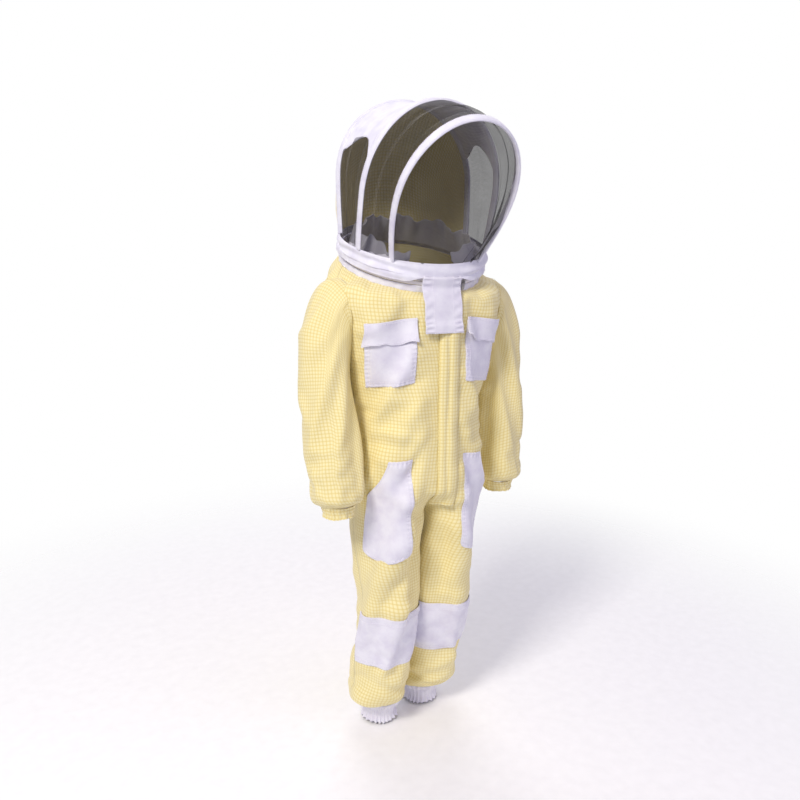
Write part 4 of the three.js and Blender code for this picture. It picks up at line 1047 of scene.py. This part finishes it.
# -------------------- hood
BAND_WIDE, BAND_DEEP = NECK_RADIUS + 7, NECK_RADIUS - 9
HOOD_HEART = (0, -90, 130)
HOOPS = {
    "rear": (108, (0, 59, 321), BAND_WIDE - 4, 106),
    "middle": (68, (0, -99, 306), BAND_WIDE - 7, 100),
    "front": (38, (0, -236, 262), BAND_WIDE - 32, 128),
}
LEG_SHARE = 0.38
CASING_HALF = 9


def band_point(degrees, height, inset=0.0):
    degrees, height = np.broadcast_arrays(np.asarray(degrees, float), np.asarray(height, float))
    t = np.clip((height - TAPE_WIDE) / (BAND_RISE - TAPE_WIDE), 0, 1.5)
    wide = lerp(NECK_RADIUS + 1, BAND_WIDE, t) - inset
    deep = lerp(NECK_RADIUS + 1, BAND_DEEP, t) - inset
    a = np.radians(degrees)
    level = NECK_CENTRE + RIGHT_TO_LEFT * (wide * np.sin(a))[..., None]
    return level + NECK_FRONT * (deep * np.cos(a))[..., None] + NECK_AXIS * height[..., None]


def hoop_frame(hoop):
    foot, top = HOOPS[hoop][:2]
    left = band_point(foot, BAND_RISE)
    low = np.array((0, left[1], left[2]))
    rise = np.array(top, float) - low
    up = rise / np.linalg.norm(rise)
    return left, low, up, np.linalg.norm(rise), -np.cross(up, RIGHT_TO_LEFT)


def hoop_point(hoop, u, forward=0.0):
    """The point on a hoop at u, -1 at the wearer's right foot to 1 at the left, moved forward off it."""
    left, low, up, tall, front = hoop_frame(hoop)
    _, _, wide, waist = HOOPS[hoop]
    u = np.asarray(u, float)
    a = np.abs(u)
    q = (1 - a) / LEG_SHARE
    t = a / (1 - LEG_SHARE) * math.pi / 2
    leg = a > 1 - LEG_SHARE
    x = np.where(leg, left[0] + (wide - left[0]) * np.sin(q * math.pi / 2), wide * np.sin(t))
    z = np.where(leg, waist * q, waist + (tall - waist) * np.cos(t))
    forward = np.broadcast_to(np.asarray(forward, float), u.shape)
    return low + RIGHT_TO_LEFT * (np.sign(u) * x)[..., None] + up * z[..., None] + front * forward[..., None]


def between_hoops(front, rear, u, v, edge=CASING_HALF - 1.5):
    return lerp(hoop_point(front, u, -edge), hoop_point(rear, u, edge), v[..., None])


# the band: sateen, hanging in soft level folds from the hoops' feet to the zip
d, t = np.meshgrid(np.linspace(0, 360, 300, endpoint=False), np.linspace(1, 0, 26))
flap_here = np.exp(-((np.minimum(d, 360 - d) / 23) ** 6))
wall, skirt = np.clip((t - 0.28) / 0.72, 0, 1), np.clip(1 - t / 0.28, 0, 1) * (1 - flap_here)
level = band_point(d, lerp(8.0, 31.5, wall) - 9.5 * skirt, -2.2 - 6.6 * soft(skirt, 0.6))
folds = 3.4 * np.sin(t * 9 + 2.2 * np.sin(np.radians(d) * 2 + 0.6) + 0.8)
folds = folds + 2.6 * noise_on(level * (1, 1, 2.4), 34, 2)
bulge = (5.0 + folds) * hump(t) * (1 - 0.8 * flap_here)
hem = 0.9 * np.sin(np.radians(d) * 47 + 2 * np.sin(np.radians(d) * 5)) * skirt
band = pushed(level, NECK_HEART, bulge + hem)
piece("hood_band", band, SATIN, "hood", NECK_HEART, around=True)
sewn("hood", band, NECK_HEART, rows=(0.06, 0.95))

# each hoop's casing: a flat tube of sateen over the wire, gathered a little
for hoop in HOOPS:
    u = np.linspace(-1.0, 1.0, 220)
    centre = hoop_point(hoop, u)
    tangent = np.gradient(centre, axis=0)
    tangent /= np.linalg.norm(tangent, axis=1, keepdims=True)
    front = hoop_frame(hoop)[4]
    outward = np.cross(tangent, front)
    outward /= np.linalg.norm(outward, axis=1, keepdims=True)
    if (outward[110] @ (0, 0, 1)) < 0:
        outward = -outward
    a = np.linspace(0, 2 * math.pi, 16, endpoint=False)
    half, deep = CASING_HALF + 0.6, 3.4
    gather = 0.5 * np.sin(np.arange(220) * 1.3) + 0.35 * np.sin(np.arange(220) * 2.9)
    section_w = half * soft(np.cos(a), 0.8)[None, :] * (1 + 0.03 * gather[:, None])
    section_o = deep * soft(np.sin(a), 1.0)[None, :] + 0.35 * gather[:, None] * np.abs(np.sin(a))[None, :]
    tube = centre[:, None] + outward[:, None] * section_o[..., None] + front * section_w[..., None]
    n = np.cross(np.gradient(tube, axis=0), np.roll(tube, -1, 1) - np.roll(tube, 1, 1))
    flip = ((tube - centre[:, None]) * n).sum() < 0
    obj = cloth(f"{hoop}_hoop_casing_cloth", tube, SATIN, flip, around=True)
    finished(obj, 0.8, 1)
    dress(obj, "hood", f"{hoop}_hoop_casing")
    long = float(steps(tube, 0)[-1].max())
    for w in (-0.8, 0.8):
        line = centre + outward * (deep * 0.62 + 0.5) + front * half * w
        SEAMS.setdefault(("hood", "white"), []).append(line)

# the crown: a white panel between the rear and middle hoops, its side edges cut in a scallop
v, t = shares((0, 1, 30), (-1, 1, 96), indexing="ij")
edge = 0.5 - 0.1 * hump(v) - 0.02 * np.sin(2 * math.pi * v)
crown = between_hoops("middle", "rear", t * edge, v)
sag = -5 * hump(v) * (1 - t**4) + 1.8 * noise_on(crown, 45, 6) * hump(v)
crown = pushed(crown, HOOD_HEART, sag)
piece("hood_crown", crown, SATIN, "hood", HOOD_HEART, thick=1.2)
sewn("hood", crown, HOOD_HEART, cols=(0.015, 0.985))


def pleats(points, u, places, deep, wide):
    """Folds of slack net running from hoop to hoop or top to bottom at the given places across it."""
    height = sum(deep * bell(u, p, wide) * s for p, s in places)
    return points + normals_of(points, HOOD_HEART) * height[..., None]


def veil(node, points):
    """Net stretched between hoops and band, uneven by a millimetre or so; it's one layer of mesh."""
    points = pushed(points, HOOD_HEART, 1.6 * noise_on(points * (1, 1, 0.3), 28, 9))
    piece(node, points, NET, "hood", HOOD_HEART, thick=0.0, levels=0, kind="net")


for name, side in SIDES:
    v, t = shares((0, 1, 30), (0, 1, 70), indexing="ij")
    edge = 0.5 - 0.1 * hump(v) - 0.02 * np.sin(2 * math.pi * v) - 0.006
    points = between_hoops("middle", "rear", side * lerp(edge, 1.0, t), v)
    points = pleats(points, v + 0.12 * t, [(0.35, -1), (0.62, 0.8), (0.8, -0.6)], 4.5, 0.06)
    veil(f"side_veil_{name}", points)

v, t = shares((0, 1, 30), (-1, 1, 190), indexing="ij")
points = between_hoops("front", "middle", t, v)
points = pleats(points, v + 0.1 * np.abs(t), [(0.3, -1), (0.55, 0.9), (0.75, -0.7)], 4.5, 0.06)
veil("middle_veil", points)

u, v = shares((0, 1, 110), (0, 1, 60))
low = band_point(lerp(-38, 38, u), 29, 1.5)
high = hoop_point("front", lerp(-1.0, 1.0, u), -1.0)
high = lerp(high, hoop_point("front", np.zeros(u.shape), -1.0) - (0, 0, 110), 0.02)
points = lerp(low, high, v[..., None]) + hoop_frame("front")[4] * (6 * hump(v))[..., None]
points = pleats(points, u, [(0.16, -1), (0.3, 0.6), (0.78, -1), (0.86, 0.9), (0.92, -0.8)], 4.5, 0.018)
veil("face_veil", points)

u, v = shares((0, 1, 110), (0, 1, 64))
high = hoop_point("rear", lerp(-1.0, 1.0, u), -9.5)
low = band_point(lerp(-112, -248, u), 28)
swell = 38 * hump(v) * (1 - (2 * u - 1) ** 4)
back = lerp(high, low, v[..., None]) + np.array((0, 1, 0.2)) * swell[..., None]
wrinkle = 5 * noise_on(back * (0.5, 1, 1), 60, 4) + 2.2 * noise_on(back, 24, 11)
wrinkle = wrinkle * hump(v) * hump(u)
back = pushed(back, HOOD_HEART, wrinkle)
piece("hood_back_panel", back, YELLOW, "hood", HOOD_HEART, thick=CLOTH_THICK)
sewn("hood", back, HOOD_HEART, rows=(0.03, 0.97), thread="gold")

# -------------------- neck flap
u, t = shares((-1, 1, 44), (0, 6, 60))
x = u * lerp(38, 41, t / 6)
degrees = np.degrees(np.arcsin(x / NECK_RADIUS))
rows = [("neck", 12, 4.5), ("neck", 9, 9.5), ("neck", -8, 9.5), ("front", -46, 8), ("front", -74, 9),
        ("front", -85, 14), ("front", -100, 14)]


def flap_row(kind, at, off):
    if kind == "neck":
        return neck_point(degrees, np.full(u.shape, NECK_RADIUS + off), np.full(u.shape, float(at)))
    wide = table_at(TRUNK, at)[0]
    a = np.arcsin(np.clip(np.abs(x) / wide, 0, 1) ** 1.25)
    y = seam_y(at, 0) - (seam_y(at, 0) - front_y(at)) * soft(np.cos(a)) - off
    return np.stack([x, y, np.full(u.shape, float(at))], -1)


levels = np.stack([flap_row(*row) for row in rows])
k = np.clip(t.astype(int), 0, 5)
i, j = np.indices(t.shape)
flap = lerp(levels[k, i, j], levels[k + 1, i, j], (t - k)[..., None])
flap = softened(flap, 6)
ripple = 1.4 * bell(np.abs(u), 0.74, 0.16) * np.sin(t * 9) + 1.1 * noise_on(flap, 22, 12)
flap = pushed(flap, HEART, ripple)
piece("neck_flap", flap, WHITE, "neck_flap", HEART, thick=1.8)
sewn("neck_flap", flap, HEART, rows=(0.03, 0.955), cols=(0.04, 0.26, 0.74, 0.96))


# -------------------- stitches and zip teeth
STITCH, TOOTH = 3.4, 2.6  # millimetres from one to the next


def along_lines(name, lines, body, material, pitch, build_item):
    """Geometry Nodes: sets one small item every pitch millimetres along each line, as one plain mesh."""
    curve = bpy.data.curves.new(name, "CURVE")
    curve.dimensions = "3D"
    for line in lines:
        strand = curve.splines.new("POLY")
        strand.points.add(len(line) - 1)
        strand.points.foreach_set("co", np.c_[line * MM, np.ones(len(line))].ravel())
    obj = link(name + "_lines", curve)
    tree = bpy.data.node_groups.new(name, "GeometryNodeTree")
    tree.interface.new_socket("Lines", in_out="INPUT", socket_type="NodeSocketGeometry")
    step = tree.interface.new_socket("Pitch", in_out="INPUT", socket_type="NodeSocketFloat")
    tree.interface.new_socket("Items", in_out="OUTPUT", socket_type="NodeSocketGeometry")
    given = add(tree, "NodeGroupInput")
    inputs = {"Curve": given.outputs[0], "Length": given.outputs[1]}
    spaced = add(tree, "GeometryNodeResampleCurve", inputs, mode="LENGTH")
    points = add(tree, "GeometryNodeCurveToPoints", {"Curve": spaced.outputs[0]}, mode="EVALUATED")
    placed = add(
        tree, "GeometryNodeInstanceOnPoints",
        {**{key: points.outputs[key] for key in ("Points", "Rotation")}, "Instance": build_item(tree)},
    )
    real = add(tree, "GeometryNodeRealizeInstances", {0: placed.outputs[0]})
    set_material = add(tree, "GeometryNodeSetMaterial", {0: real.outputs[0]})
    set_material.inputs["Material"].default_value = material
    result = add(tree, "NodeGroupOutput")
    tree.links.new(set_material.outputs[0], result.inputs[0])
    modifier = obj.modifiers.new(name, "NODES")
    modifier.node_group = tree
    modifier[step.identifier] = pitch * MM
    bpy.context.view_layer.update()
    mesh = bpy.data.meshes.new_from_object(obj.evaluated_get(bpy.context.evaluated_depsgraph_get()))
    bpy.data.objects.remove(obj)
    mesh.name = name
    if not mesh.materials:
        mesh.materials.append(material)
    made = link(name, mesh)
    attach(made, body)
    return made


def stitch_item(tree):
    """One stitch: a fat little capsule of thread lying along the seam."""
    ball = add(tree, "GeometryNodeMeshIcoSphere", Radius=0.42 * MM, Subdivisions=1)
    return add(tree, "GeometryNodeTransform", {0: ball.outputs[0]}, Scale=(1.0, 1.0, 3.0)).outputs[0]


def tooth_item(tree):
    """One moulded tooth."""
    return add(tree, "GeometryNodeMeshCube", Size=(2.9 * MM, 2.4 * MM, 1.5 * MM)).outputs[0]


for (body, thread), lines in SEAMS.items():
    material = THREAD if thread == "white" else GOLD_THREAD
    slot = "white_cotton" if thread == "white" else "ventilated_cloth"
    along_lines(f"stitches_{body}_{thread}", lines, body, material, STITCH, stitch_item)

d = np.linspace(-NECK_END, NECK_END, 400)
for part, sign, body in (("lower", -1, "coverall"), ("upper", 1, "hood")):
    line = neck_point(d, np.full(400, NECK_RADIUS + 0.6), np.full(400, sign * 1.6))
    along_lines(f"neck_teeth_{part}", [line], body, TEETH, TOOTH, tooth_item)

# -------------------- finishes of the kept pieces
KEPT = {
    NICKEL: ["front_zip_slider", "front_zip_pull"]
    + [f"neck_{k}_{name}" for k in ("slider", "pull") for name, _ in SIDES],
    STEEL: [f"{hoop}_hoop_wire" for hoop in HOOPS],
    ELASTIC: ["waist_elastic"] + [f"{k}_elastic_{name}" for k in ("wrist", "ankle") for name, _ in SIDES],
    TAPE: ("front_zip_right", "front_zip_left"),
}
for material, nodes in KEPT.items():
    for node in nodes:
        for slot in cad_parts[node].material_slots:
            slot.material = material

# name, place, what it aims at, width in metres, watts, colour
LIGHTS = (
    ("key", (-2.2, -1.6, 2.0), (0, -0.05, -0.25), 0.8, 84, "#fffaf2"),
    ("fill", (2.2, -2.0, 0.6), (0, 0, -0.3), 2.6, 14, "#efe4ff"),
    ("back", (0.6, 2.2, 1.8), (0, 0, -0.2), 2.0, 30, "#ffffff"),
)

AMBIENT = 0.5  # strength of the sky that lights the shaded sides


def make_studio():
    world = bpy.data.worlds.new("studio")
    bpy.context.scene.world = world
    world.use_nodes = True
    tree = world.node_tree
    sky, ground = tree.nodes["Background"], tree.nodes["World Output"]
    sky.inputs[0].default_value, sky.inputs[1].default_value = linear("#f3efff"), AMBIENT
    seen = add(tree, "ShaderNodeBackground", Color=linear("#ffffff"), Strength=1.0)
    path = add(tree, "ShaderNodeLightPath")
    inputs = {0: path.outputs["Is Camera Ray"], 1: sky.outputs[0], 2: seen.outputs[0]}
    mixed = add(tree, "ShaderNodeMixShader", inputs)
    tree.links.new(mixed.outputs[0], ground.inputs[0])
    bpy.context.scene.view_settings.view_transform = "Standard"
    for name, place, aim, size, watts, colour in LIGHTS:
        data = bpy.data.lights.new(name, "AREA")
        data.size, data.energy, data.color = size, watts, linear(colour)[:3]
        lamp = bpy.data.objects.new(name, data)
        lamp.location = place
        lamp.rotation_euler = (Vector(place) - Vector(aim)).to_track_quat("Z", "Y").to_euler()
        bpy.context.scene.collection.objects.link(lamp)
    mesh = bpy.data.meshes.new("floor")
    z = -0.952  # just under the ankle cuffs
    mesh.from_pydata([(-9, -9, z), (9, -9, z), (9, 9, z), (-9, 9, z)], [], [(0, 1, 2, 3)])
    floor = link("floor", mesh)
    paint = plain("floor, matt white paint", "#f4f4f4", 40, 0.1, Roughness=0.9)
    tree = paint.node_tree
    place = add(tree, "ShaderNodeTexCoord").outputs["Object"]
    far = add(tree, "ShaderNodeVectorMath", {0: place}, operation="LENGTH").outputs["Value"]
    # the floor fades out from 1.1 to 1.9 m, so that it has no horizon
    fade = {"i1": 1.1, "i2": 1.9, "i3": 1.0, "i4": 0.0}
    near = add(tree, "ShaderNodeMapRange", {0: far}, interpolation_type="SMOOTHSTEP", **fade)
    tree.links.new(near.outputs[0], tree.nodes["Principled BSDF"].inputs["Alpha"])
    floor.data.materials.append(paint)


make_studio()
